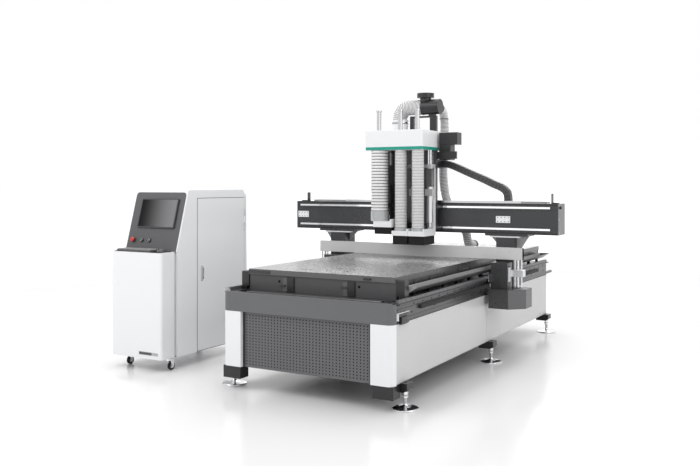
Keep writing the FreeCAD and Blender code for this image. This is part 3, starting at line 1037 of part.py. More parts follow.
# cable chain: side by side links from the holder over the knee down to the beam
ROUTE = Part.BSplineCurve()
ROUTE.interpolate([
    FreeCAD.Vector(size("head_right"), 0, size("chain_start_z")),
    FreeCAD.Vector(size("head_right") + size("chain_lead"), 0, size("chain_start_z") - size("chain_ease")),
    FreeCAD.Vector(size("chain_slope_x"), 0, size("chain_slope_z")),
    FreeCAD.Vector(size("chain_knee_x"), 0, size("chain_knee_z")),
    FreeCAD.Vector(size("chain_side_x"), 0, size("chain_side_z")),
    FreeCAD.Vector(size("chain_foot_x"), 0, size("chain_foot_z") + size("chain_lead")),
    FreeCAD.Vector(size("chain_foot_x"), 0, size("chain_foot_z"))])
EDGE = ROUTE.toShape()
COUNT = int(EDGE.Length / size("link_long"))
SPOTS = EDGE.discretize(Number=COUNT + 1)
HALF = size("chain_half")
NOTCH = size("link_gap")
UPPER = []
LOWER = []
for i, spot in enumerate(SPOTS):
    ahead = SPOTS[min(i + 1, COUNT)]
    behind = SPOTS[max(i - 1, 0)]
    heading = (ahead - behind).normalize()
    if i == 0:
        heading = ALONG_X
    if i == COUNT:
        heading = -ALONG_Z
    upward = FreeCAD.Vector(-heading.z, 0, heading.x)
    if 0 < i < COUNT:
        for back, reach in ((-NOTCH, HALF), (-NOTCH, HALF - NOTCH), (NOTCH, HALF - NOTCH), (NOTCH, HALF)):
            UPPER.append(spot + heading * back + upward * reach)
            LOWER.append(spot + heading * back - upward * reach)
    else:
        UPPER.append(spot + upward * HALF)
        LOWER.append(spot - upward * HALF)
RING = UPPER + LOWER[::-1]
RING.append(RING[0])
CHAIN_WIDE = FreeCAD.Vector(0, size("chain_rear") - size("chain_front"), 0)
CHAIN = Part.Face(Part.makePolygon(RING)).extrude(CHAIN_WIDE)
CHAIN.translate(FreeCAD.Vector(0, size("chain_front"), 0))
node("x_chain", feature(CHAIN))

# three heads: slide plate, spindle, rotor, dust shoe and hose
def head(side):
    x = "spindle_%s_x" % side
    left = side == "left"
    low = "z_left_low" if left else "z_block_low"
    top = "z_left_next" if left else "z_block_next"
    shoe_top = "shoe_left_high" if left else "shoe_high"
    pieces = []
    for start in (low, top):
        block = box(x + " - z_block_half", x + " + z_block_half", "z_block_front", "z_block_rear",
                    start, start + " + z_block_long")
        way = box(x + " - z_rail_half - slide_gap", x + " + z_rail_half + slide_gap",
                  "z_rail_front - slide_gap", "cart_front", start + " - z_block_long",
                  start + " + 2 * z_block_long")
        pieces.append(cut(block, way))
    reach = "z_plate_mid_half" if side == "mid" else "z_plate_half"
    pieces.append(box(x + " - z_plate_half", "%s + %s" % (x, reach), "z_plate_front", "z_block_front",
                      shoe_top, "spindle_high"))
    body_low = "spindle_left_low" if left else "spindle_low"
    body_high = "spindle_left_high" if left else "spindle_high"
    body = cut(rod("Z", "spindle_radius", x, "spindle_y", body_low, "%s - %s" % (body_high, body_low)),
               rod("Z", "rotor_radius + pin_fit", x, "spindle_y", body_low, "rotor_seat"))
    band_low = "clamp_left_low" if left else "clamp_low"
    band_high = "clamp_left_high" if left else "clamp_high"
    band = cut(box(x + " - clamp_half", x + " + clamp_half", "clamp_front", "z_plate_front",
                   band_low, band_high),
               rod("Z", "spindle_radius", x, "spindle_y", band_low, "%s - %s" % (band_high, band_low)))
    pieces += [body, band]
    if left:
        pieces.append(box(x + " - z_plate_half", x + " + z_plate_half", "z_plate_front", "z_block_front",
                          "spindle_high", "cap_left_high"))
    else:
        flange = box(x + " - flange_left_reach", x + " + flange_right_reach", "flange_front", "z_block_front",
                     "spindle_high", "flange_high")
        pieces.append(flange)
        for step in ("0", "guide_rod_step"):
            pieces.append(rod("Z", "guide_rod_radius", "%s - %s" % (x, step), "guide_rod_y", "flange_high",
                              "guide_rod_top - flange_high"))
    node("spindle_" + side, pieces)

    collet = "collet_left_low" if left else "collet_low"
    shank = "shank_left_low" if left else "shank_low"
    gap = "slide_gap"
    node("rotor_" + side, join(
        rod("Z", "rotor_radius", x, "spindle_y", "%s - %s" % (body_low, gap), "rotor_seat"),
        rod("Z", "collet_radius", x, "spindle_y", collet, "%s - %s - %s" % (body_low, gap, collet)),
        rod("Z", "shank_radius", x, "spindle_y", shank, "%s - %s" % (collet, shank))))

    start = "shoe_%s_left" % side
    end = "shoe_%s_right" % side
    base = "shoe_left_low" if left else "shoe_low"
    brush = "brush_left_low" if left else "brush_low"
    hose_x = "hose_%s_x" % side
    hose_y = "hose_left_y" if left else "hose_y"
    radius = "hose_left_radius" if left else "hose_radius"
    cuff = "cuff_left_high" if left else "cuff_high"
    bore = radius + " - rib_deep - hose_wall"
    port_x = "-shoe_port_left" if left else hose_x
    through = "%s + 2 * tool_room - %s" % (shoe_top, base)
    plate = cut(box(start, end, "shoe_front", "shoe_rear", base, shoe_top),
                rod("Z", "tool_room", x, "spindle_y", "%s - tool_room" % base, through),
                rod("Z", "shoe_port", port_x, hose_y, "%s - tool_room" % base, through))
    sides = [
        (start + " + brush_in", end + " - brush_in", "shoe_front + brush_in",
         "shoe_front + brush_in + brush_thick"),
        (start + " + brush_in", end + " - brush_in", "shoe_rear - brush_in - brush_thick",
         "shoe_rear - brush_in"),
        (start + " + brush_in", start + " + brush_in + brush_thick", "shoe_front + brush_in + brush_thick",
         "shoe_rear - brush_in - brush_thick"),
        (end + " - brush_in - brush_thick", end + " - brush_in", "shoe_front + brush_in + brush_thick",
         "shoe_rear - brush_in - brush_thick"),
    ]
    shoe = [plate]
    for span in sides:
        shoe.append(box(*(span + (brush, base))))
    shoe.append(box(end + " - shoe_ridge", end, "shoe_front", "z_plate_front", shoe_top,
                    "%s + ridge_top - shoe_high" % shoe_top))
    shoe.append(cut(rod("Z", radius + " + cuff_more", hose_x, hose_y, shoe_top, cuff),
                    rod("Z", bore, hose_x, hose_y, shoe_top, cuff)))
    node("dust_shoe_" + side, shoe)

    x_spot = size(hose_x)
    y_spot = size(hose_y)
    z_low = size(shoe_top) + size(cuff)
    z_high = size("hood_low")
    pitch = size("rib_left_pitch") if left else RIB
    deep = size("rib_deep")
    wide = size(radius)
    line = Part.makeLine(FreeCAD.Vector(x_spot, y_spot, z_low), FreeCAD.Vector(x_spot, y_spot, z_high))
    node("hose_" + side, hose(along(line, pitch), wide, deep, wide - deep - size("hose_wall"), ALONG_X))


for side in ("left", "mid", "right"):
    head(side)

doc.recompute()
for thing in doc.Objects:
    if "Invalid" in thing.State or "Error" in thing.State:
        raise ValueError("not recomputed: " + thing.Label)
os.makedirs("parts", exist_ok=True)
for whole in NODES:
    if whole.Shape.isNull() or not whole.Shape.isValid():
        raise ValueError("no valid shape: " + whole.Label)
    whole.Shape.exportStep("parts/%s.step" % whole.Label)
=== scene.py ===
import math

import bmesh
import bpy
from bpy.props import FloatProperty, FloatVectorProperty, IntProperty, PointerProperty
from mathutils import Matrix, Vector


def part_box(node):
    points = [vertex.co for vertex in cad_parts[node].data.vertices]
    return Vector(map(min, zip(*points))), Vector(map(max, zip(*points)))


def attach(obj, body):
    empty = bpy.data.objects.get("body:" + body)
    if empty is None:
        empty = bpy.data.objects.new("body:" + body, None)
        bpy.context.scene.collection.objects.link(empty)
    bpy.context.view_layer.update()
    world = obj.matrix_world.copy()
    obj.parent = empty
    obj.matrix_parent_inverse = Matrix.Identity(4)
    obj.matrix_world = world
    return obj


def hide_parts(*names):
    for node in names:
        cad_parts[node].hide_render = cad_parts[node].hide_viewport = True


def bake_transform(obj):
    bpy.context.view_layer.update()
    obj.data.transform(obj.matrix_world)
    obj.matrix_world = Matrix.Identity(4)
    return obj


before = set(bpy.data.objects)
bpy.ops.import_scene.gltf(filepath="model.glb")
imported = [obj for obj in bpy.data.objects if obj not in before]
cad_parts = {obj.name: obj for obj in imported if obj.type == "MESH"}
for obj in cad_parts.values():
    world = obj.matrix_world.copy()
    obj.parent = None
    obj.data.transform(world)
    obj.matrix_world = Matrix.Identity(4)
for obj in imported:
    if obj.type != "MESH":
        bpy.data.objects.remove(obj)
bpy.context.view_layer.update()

bl_info = {
    "name": "Gantry router looks",
    "version": (1, 0, 0),
    "blender": (4, 5, 0),
    "location": "View3D > Sidebar > Router",
    "description": "Dresses the packed gantry router with its panels, hoses, chain and finishes",
    "category": "Object",
}

MILLI = 0.001
# machine millimetres: x from the middle of the bed, y from its front plate, z from the floor
TABLE_LOW, TABLE_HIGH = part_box("table_top")
BED_X = (TABLE_LOW.x + TABLE_HIGH.x) / 2
TABLE_FRONT = 212
BED_Y = TABLE_LOW.y - TABLE_FRONT * MILLI
TO_ROW = Matrix.Translation((BED_X, BED_Y, 0)) @ Matrix.Scale(MILLI, 4)
TO_BED = TO_ROW.inverted()
X, Y = Vector((1, 0, 0)), Vector((0, 1, 0))
TURN = {"X": Matrix.Rotation(math.pi / 2, 4, "Y"), "Y": Matrix.Rotation(-math.pi / 2, 4, "X"),
        "Z": Matrix.Identity(4)}
SHARP = math.radians(28)
FLAT = math.radians(0.6)
CREASE = math.radians(40)


def colour_property(name, description, default):
    return FloatVectorProperty(name=name, description=description, subtype="COLOR", size=3,
                               min=0, max=1, default=default)


class RouterColours(bpy.types.PropertyGroup):
    """The colours that a user may change."""
    white: colour_property("White panels", "Powder coat of the cabinet, the side panels and the hood",
                           (0.80, 0.81, 0.82))
    grey: colour_property("Front plate", "Paint of the plate across the bed front",
                          (0.118, 0.121, 0.124))
    dark: colour_property("Dark frame", "Paint of the beam, the legs and the bed frame",
                          (0.032, 0.034, 0.037))
    black: colour_property("Black parts", "Paint of the boxes, the mast and the brackets",
                           (0.012, 0.012, 0.013))
    band: colour_property("Coloured band", "Strip round the foot of the hood", (0.0, 0.30, 0.22))
    stop: colour_property("Emergency button", "Moulded plastic of the emergency button",
                          (0.55, 0.015, 0.012))
    hose: colour_property("Hose", "Plastic of the ribbed hoses", (0.82, 0.82, 0.82))


class RouterSizes(bpy.types.PropertyGroup):
    """The sizes that a user may change."""
    edge: FloatProperty(name="Edge", description="Bevel of sheet metal edges", unit="LENGTH",
                        default=0.0015, min=0.0002, max=0.01)
    rib_pitch: FloatProperty(name="Rib pitch", description="Step from rib to rib on the slim hoses",
                             unit="LENGTH", default=0.013, min=0.006, max=0.03)
    wide_pitch: FloatProperty(name="Wide rib pitch", description="Step from rib to rib on the wide hose",
                              unit="LENGTH", default=0.0265, min=0.01, max=0.06)
    link: FloatProperty(name="Chain link", description="Length of one link of the cable chain",
                        unit="LENGTH", default=0.034, min=0.02, max=0.08)
    hole: FloatProperty(name="Grille hole", description="Radius of one hole of the front grille",
                        unit="LENGTH", default=0.0052, min=0.001, max=0.01)
    hole_columns: IntProperty(name="Grille columns", description="Columns of holes in the front grille",
                              default=38, min=8, max=80)
    hole_rows: IntProperty(name="Grille rows", description="Holes in one column of the front grille",
                           default=18, min=4, max=60)
    lens: FloatProperty(name="Lens", description="Focal length of the camera in millimetres",
                        default=42.05, min=10, max=200)


# node groups shared by the finishes
SOCKETS = {"c": "NodeSocketColor", "f": "NodeSocketFloat", "v": "NodeSocketVector"}
SURFACE = [("Colour", "c"), ("Roughness", "f"), ("Height", "f")]


def new_group(name, inputs, outputs=SURFACE):
    tree = bpy.data.node_groups.new(name, "ShaderNodeTree")
    for label, kind, value in inputs:
        socket = tree.interface.new_socket(name=label, in_out="INPUT", socket_type=SOCKETS[kind])
        if value is not None:
            socket.default_value = value
    for label, kind in outputs:
        tree.interface.new_socket(name=label, in_out="OUTPUT", socket_type=SOCKETS[kind])
    source = tree.nodes.new("NodeGroupInput")
    target = tree.nodes.new("NodeGroupOutput")
    return tree, source.outputs, target.inputs


def add(tree, kind, **settings):
    node = tree.nodes.new(kind)
    for key, value in settings.items():
        setattr(node, key, value)
    return node


def find(tree, kind):
    """The first node of a kind in a tree."""
    return next(node for node in tree.nodes if node.bl_idname == kind)


def feed(tree, socket, value):
    """Links another socket to this one, or sets a plain value on it."""
    if isinstance(value, bpy.types.NodeSocket):
        tree.links.new(value, socket)
    else:
        socket.default_value = value


def maths(tree, operation, first, second):
    node = add(tree, "ShaderNodeMath", operation=operation)
    feed(tree, node.inputs[0], first)
    feed(tree, node.inputs[1], second)
    return node.outputs[0]


def spread(tree, value, low, high, to_low, to_high):
    node = add(tree, "ShaderNodeMapRange", interpolation_type="SMOOTHSTEP")
    for label, amount in (("Value", value), ("From Min", low), ("From Max", high), ("To Min", to_low),
                          ("To Max", to_high)):
        feed(tree, node.inputs[label], amount)
    return node.outputs["Result"]


def noise(tree, vector, scale, detail=3.0, rough=0.55):
    node = add(tree, "ShaderNodeTexNoise")
    for label, value in (("Vector", vector), ("Scale", scale), ("Detail", detail), ("Roughness", rough)):
        feed(tree, node.inputs[label], value)
    return node.outputs["Fac"]


def mixed(tree, factor, first, second, blend_type="MIX"):
    """Two colours mixed, or multiplied, by a factor."""
    node = add(tree, "ShaderNodeMix", data_type="RGBA", blend_type=blend_type)
    for label, value in (("Factor", factor), ("A", first), ("B", second)):
        feed(tree, node.inputs[label], value)
    return node.outputs["Result"]


def weighted_sum(tree, first, share, second):
    """A share of one pattern and the rest of another."""
    return maths(tree, "ADD", maths(tree, "MULTIPLY", first, share),
                 maths(tree, "MULTIPLY", second, 1 - share))


def toned(tree, ins, outs, pattern):
    """Darkens the colour and spreads the gloss of a group by one pattern."""
    shade = maths(tree, "SUBTRACT", 1.0, maths(tree, "MULTIPLY", pattern, ins["Tone"]))
    tree.links.new(mixed(tree, 1.0, ins["Colour"], shade, "MULTIPLY"), outs["Colour"])
    tree.links.new(spread(tree, pattern, 0.3, 0.7, ins["Gloss low"], ins["Gloss high"]), outs["Roughness"])


def coat_group():
    """A sprayed coat: faint orange peel, soft patches of tone and a handled, less even gloss."""
    tree, ins, outs = new_group("Sprayed coat", [
        ("Vector", "v", None), ("Colour", "c", (1, 1, 1, 1)), ("Tone", "f", 0.04), ("Gloss low", "f", 0.3),
        ("Gloss high", "f", 0.45), ("Peel scale", "f", 700.0)])
    broad = noise(tree, ins["Vector"], 2.3, 2.0)
    fine = noise(tree, ins["Vector"], 26.0, 4.0)
    toned(tree, ins, outs, weighted_sum(tree, broad, 0.7, fine))
    tree.links.new(noise(tree, ins["Vector"], ins["Peel scale"], 1.0), outs["Height"])
    return tree


def brushed_group():
    """Brushed or ground metal: long fine lines along one direction over soft patches."""
    tree, ins, outs = new_group("Brushed metal", [
        ("Vector", "v", None), ("Stretch", "v", (4, 400, 400)), ("Colour", "c", (1, 1, 1, 1)),
        ("Tone", "f", 0.2), ("Gloss low", "f", 0.2), ("Gloss high", "f", 0.4)])
    scaled = add(tree, "ShaderNodeVectorMath", operation="MULTIPLY")
    tree.links.new(ins["Vector"], scaled.inputs[0])
    tree.links.new(ins["Stretch"], scaled.inputs[1])
    lines = noise(tree, scaled.outputs[0], 1.0, 4.0, 0.65)
    broad = noise(tree, ins["Vector"], 3.1, 2.0)
    toned(tree, ins, outs, weighted_sum(tree, lines, 0.65, broad))
    tree.links.new(lines, outs["Height"])
    return tree


def speckle_group():
    """Milled mirror-like metal broken into tiny bright and dark grains."""
    tree, ins, outs = new_group("Speckled metal", [
        ("Vector", "v", None), ("Dark", "c", (0.1, 0.1, 0.1, 1)), ("Light", "c", (1, 1, 1, 1)),
        ("Grain", "f", 260.0), ("Gloss low", "f", 0.1), ("Gloss high", "f", 0.35)])
    cells = add(tree, "ShaderNodeTexVoronoi", feature="F1")
    tree.links.new(ins["Vector"], cells.inputs["Vector"])
    tree.links.new(ins["Grain"], cells.inputs["Scale"])
    grey = add(tree, "ShaderNodeSeparateColor")
    tree.links.new(cells.outputs["Color"], grey.inputs[0])
    patch = noise(tree, ins["Vector"], 7.0, 5.0, 0.6)
    value = weighted_sum(tree, grey.outputs[0], 0.62, patch)
    mask = spread(tree, value, 0.22, 0.72, 0.0, 1.0)
    tree.links.new(mixed(tree, mask, ins["Dark"], ins["Light"]), outs["Colour"])
    tree.links.new(spread(tree, value, 0.2, 0.8, ins["Gloss low"], ins["Gloss high"]), outs["Roughness"])
    tree.links.new(value, outs["Height"])
    return tree


def dust_group():
    """Where dust settles: on faces that look up, in loose patches."""
    tree, ins, outs = new_group("Settled dust", [("Vector", "v", None), ("Amount", "f", 0.2)],
                                [("Mask", "f")])
    facing = add(tree, "ShaderNodeNewGeometry")
    parts = add(tree, "ShaderNodeSeparateXYZ")
    tree.links.new(facing.outputs["Normal"], parts.inputs[0])
    up = spread(tree, parts.outputs["Z"], 0.5, 1.0, 0.0, 1.0)
    patch = spread(tree, noise(tree, ins["Vector"], 9.0, 5.0, 0.62), 0.35, 0.75, 0.1, 1.0)
    mask = maths(tree, "MULTIPLY", maths(tree, "MULTIPLY", up, patch), ins["Amount"])
    tree.links.new(mask, outs["Mask"])
    return tree


GROUP_MAKERS = {"coat": coat_group, "brushed": brushed_group, "speckle": speckle_group, "dust": dust_group}
GROUPS = {}
DUST_COLOUR = (0.55, 0.54, 0.52, 1)
COAT_GLOSS = 0.12


def group(name):
    if name not in GROUPS:
        GROUPS[name] = GROUP_MAKERS[name]()
    return GROUPS[name]


def material(label, kind, gloss, bump, settings, distance=0.0002, dust=0.0, metallic=0.0, coat=0.0,
             specular=0.5, transmission=0.0):
    """One finish: a shared group gives colour, gloss and relief, the constants sit on the shader itself."""
    made = bpy.data.materials.new(label)
    made.use_nodes = True
    tree = made.node_tree
    shader = tree.nodes["Principled BSDF"]
    place = add(tree, "ShaderNodeTexCoord")
    look = add(tree, "ShaderNodeGroup", node_tree=group(kind))
    tree.links.new(place.outputs["Object"], look.inputs["Vector"])
    look.inputs["Gloss low"].default_value, look.inputs["Gloss high"].default_value = gloss
    for socket, value in settings.items():
        look.inputs[socket].default_value = value
    shade = look.outputs["Colour"]
    if dust:
        layer = add(tree, "ShaderNodeGroup", node_tree=group("dust"))
        layer.inputs["Amount"].default_value = dust
        tree.links.new(place.outputs["Object"], layer.inputs["Vector"])
        shade = mixed(tree, layer.outputs["Mask"], shade, DUST_COLOUR)
    tree.links.new(shade, shader.inputs["Base Color"])
    tree.links.new(look.outputs["Roughness"], shader.inputs["Roughness"])
    if bump:
        relief = add(tree, "ShaderNodeBump")
        relief.inputs["Strength"].default_value = bump
        relief.inputs["Distance"].default_value = distance
        tree.links.new(look.outputs["Height"], relief.inputs["Height"])
        tree.links.new(relief.outputs["Normal"], shader.inputs["Normal"])
    for label, value in (("Metallic", metallic), ("Coat Weight", coat), ("Coat Roughness", COAT_GLOSS),
                         ("Specular IOR Level", specular), ("Transmission Weight", transmission)):
        shader.inputs[label].default_value = value
    return made


def sprayed(label, colour, gloss, bump, tone, peel=900.0, **more):
    """A painted or moulded finish. Its colour is a number or the name of one that the user may change."""
    if isinstance(colour, str):
        colour = getattr(bpy.context.scene.router_colours, colour)
    return material(label, "coat", gloss, bump, {"Colour": (*colour, 1), "Tone": tone, "Peel scale": peel},
                    **more)


def brushed(label, colour, gloss, bump, tone, stretch, **more):
    """A metal finish with its lines along the axis where stretch is small."""
    return material(label, "brushed", gloss, bump, {"Colour": (*colour, 1), "Tone": tone,
                                                    "Stretch": stretch}, **more)


def speckled_table():
    return material("speckled_table", "speckle", (0.2, 0.36), 0.06, {
        "Dark": (0.25, 0.25, 0.252, 1), "Light": (0.51, 0.51, 0.513, 1), "Grain": 150.0},
        distance=0.0003, metallic=0.9)


SCREEN_LEFT, SCREEN_RIGHT = -1868, -1485
# the screen runs from black to grey along its width: the grey end is a painted reflection on the glass
SCREEN_BLACK, SCREEN_REFLECTION_GREY = (0.006, 0.005, 0.006, 1), (0.20, 0.20, 0.204, 1)


def screen_glass():
    """Dark glass over a switched-off panel, with a painted reflection that turns it from black to grey along
    its width.
    """
    made = sprayed("dark_screen_glass", (1, 1, 1), (0.1, 0.16), 0.01, 0.05, 700.0, specular=0.12)
    tree = made.node_tree
    parts = add(tree, "ShaderNodeSeparateXYZ")
    tree.links.new(find(tree, "ShaderNodeTexCoord").outputs["Object"], parts.inputs[0])
    left, right = [(TO_ROW @ Vector((x, 0, 0))).x for x in (SCREEN_LEFT, SCREEN_RIGHT)]
    # painted reflection: the glass turns grey from left to right
    along = spread(tree, parts.outputs["X"], left, right, 0.0, 1.0)
    tree.links.new(mixed(tree, along, SCREEN_BLACK, SCREEN_REFLECTION_GREY),
                   find(tree, "ShaderNodeGroup").inputs["Colour"])
    return made


# every finish of the machine: its maker, then label, colour, gloss from and to, bump and tone
FINISHES = {
    "white": (sprayed, "white_powder_coat", "white", (0.28, 0.4), 0.05, 0.03, dict(dust=0.03, coat=0.15)),
    "plate": (sprayed, "front_plate_paint", "grey", (0.3, 0.42), 0.06, 0.08, dict(dust=0.05, coat=0.1)),
    "dark": (sprayed, "dark_frame_paint", "dark", (0.26, 0.42), 0.08, 0.15, dict(dust=0.05, coat=0.12)),
    "black": (sprayed, "black_parts_paint", "black", (0.25, 0.42), 0.08, 0.2, dict(dust=0.04, coat=0.1)),
    "band": (sprayed, "hood_band_film", "band", (0.25, 0.35), 0.02, 0.06, dict(peel=700.0)),
    "light": (sprayed, "light_grey_paint", (0.42, 0.422, 0.425), (0.28, 0.4), 0.06, 0.05,
              dict(dust=0.04, coat=0.1)),
    "mid": (sprayed, "middle_grey_paint", (0.105, 0.107, 0.109), (0.28, 0.4), 0.06, 0.08,
            dict(dust=0.05, coat=0.1)),
    # the side panels are white powder coat; this darker copy of it is painted shade on the sides turned from
    # the light
    "panel": (sprayed, "side_panel_coat", (0.55, 0.552, 0.555), (0.28, 0.4), 0.05, 0.03,
              dict(dust=0.03, coat=0.15)),
    "bar": (sprayed, "pusher_coat", (0.56, 0.56, 0.562), (0.26, 0.38), 0.06, 0.05,
            dict(dust=0.03, coat=0.15)),
    "cover": (sprayed, "drive_cover_coat", (0.04, 0.041, 0.042), (0.24, 0.36), 0.05, 0.1,
              dict(dust=0.02, coat=0.2)),
    "grille": (sprayed, "grille_paint", (0.115, 0.117, 0.12), (0.34, 0.46), 0.05, 0.06, dict(dust=0.03)),
    "recess": (sprayed, "recess_paint", (0.07, 0.071, 0.073), (0.3, 0.42), 0.05, 0.1, dict(dust=0.03)),
    "gloss": (sprayed, "glossy_trough_paint", (0.03, 0.031, 0.032), (0.12, 0.22), 0.04, 0.15,
              dict(coat=0.5)),
    "chain": (sprayed, "chain_plastic", (0.06, 0.061, 0.063), (0.35, 0.5), 0.08, 0.15, {}),
    "rubber": (sprayed, "tyre_rubber", (0.02, 0.02, 0.021), (0.6, 0.8), 0.2, 0.25,
               dict(peel=300.0, distance=0.0004, dust=0.1, specular=0.3)),
    "hose": (sprayed, "ribbed_hose_plastic", "hose", (0.3, 0.42), 0.08, 0.06, dict(peel=400.0, coat=0.2)),
    # the finish between the ribs of the white hoses is painted shade in their creases
    "gap": (sprayed, "hose_wall_between_ribs", (0.15, 0.15, 0.152), (0.4, 0.55), 0.08, 0.1,
            dict(peel=400.0)),
    "clear": (sprayed, "clear_cuff_plastic", (0.78, 0.80, 0.81), (0.08, 0.16), 0.03, 0.03,
              dict(peel=120.0, coat=0.4, transmission=0.55)),
    "bezel": (sprayed, "screen_bezel_plastic", (0.045, 0.045, 0.047), (0.25, 0.35), 0.05, 0.1, {}),
    "console": (sprayed, "console_paint", (0.082, 0.083, 0.086), (0.32, 0.45), 0.06, 0.1,
                dict(dust=0.03)),
    "seam": (sprayed, "shadow_line", (0.16, 0.16, 0.165), (0.6, 0.8), 0.03, 0.3,
             dict(peel=700.0, specular=0.1)),
    "plaque": (sprayed, "plain_plaque", (0.14, 0.14, 0.145), (0.3, 0.4), 0.05, 0.12, {}),
    "keybase": (sprayed, "keyboard_plastic", (0.10, 0.10, 0.103), (0.28, 0.4), 0.08, 0.1, dict(coat=0.2)),
    "keys": (sprayed, "key_plastic", (0.27, 0.27, 0.275), (0.4, 0.52), 0.1, 0.05, {}),
    "red": (sprayed, "emergency_red_plastic", "stop", (0.2, 0.3), 0.03, 0.1, dict(peel=700.0, coat=0.4)),
    "green": (sprayed, "button_green_plastic", (0.005, 0.12, 0.06), (0.2, 0.3), 0.03, 0.1,
              dict(peel=700.0, coat=0.4)),
    # hole: near black that stands for the shade inside openings, which is painted shade
    "hole": (sprayed, "open_dark", (0.004, 0.004, 0.004), (0.7, 0.9), 0.05, 0.3,
             dict(peel=700.0, specular=0.1)),
    "silver": (brushed, "brushed_aluminium", (0.78, 0.79, 0.80), (0.26, 0.42), 0.1, 0.14,
               dict(stretch=(3, 220, 260), distance=0.0001, metallic=0.9)),
    "upright": (brushed, "upright_aluminium", (0.74, 0.75, 0.76), (0.26, 0.42), 0.1, 0.14,
                dict(stretch=(260, 220, 3), distance=0.0001, metallic=0.85)),
    "steel": (brushed, "ground_steel", (0.62, 0.63, 0.64), (0.14, 0.28), 0.06, 0.18,
              dict(stretch=(260, 3, 260), distance=0.00005, metallic=1.0)),
    "chrome": (brushed, "bright_chrome", (0.86, 0.87, 0.88), (0.05, 0.12), 0.02, 0.08,
               dict(stretch=(120, 120, 6), distance=0.00005, metallic=1.0)),
    "bristle": (brushed, "brush_bristles", (0.016, 0.016, 0.017), (0.55, 0.8), 0.9, 0.7,
                dict(stretch=(420, 420, 8), distance=0.002, specular=0.25)),
    "table": (speckled_table, {}),
    "screen": (screen_glass, {}),
}
MADE = {}


def finish(name):
    """The material of a finish, made when it is first asked for."""
    if name not in MADE:
        make, *values, more = FINISHES[name]
        MADE[name] = make(*values, **more)
    return MADE[name]


# making of pieces, in millimetres about the middle of the bed front
def closed_solids(bm):
    """The faces of each closed solid of a mesh of loose triangles, in the order in which they are stored."""
    open_edges = {}
    solids = []
    faces = []
    for face in bm.faces:
        faces.append(face)
        spots = [tuple(round(c, 6) for c in vert.co) for vert in face.verts]
        for start, end in zip(spots, spots[1:] + spots[:1]):
            if open_edges.get((end, start)):
                open_edges[end, start] -= 1
                if not open_edges[end, start]:
                    del open_edges[end, start]
            else:
                open_edges[start, end] = open_edges.get((start, end), 0) + 1
        if not open_edges:
            solids.append(faces)
            faces = []
    if faces:
        solids.append(faces)
    return solids


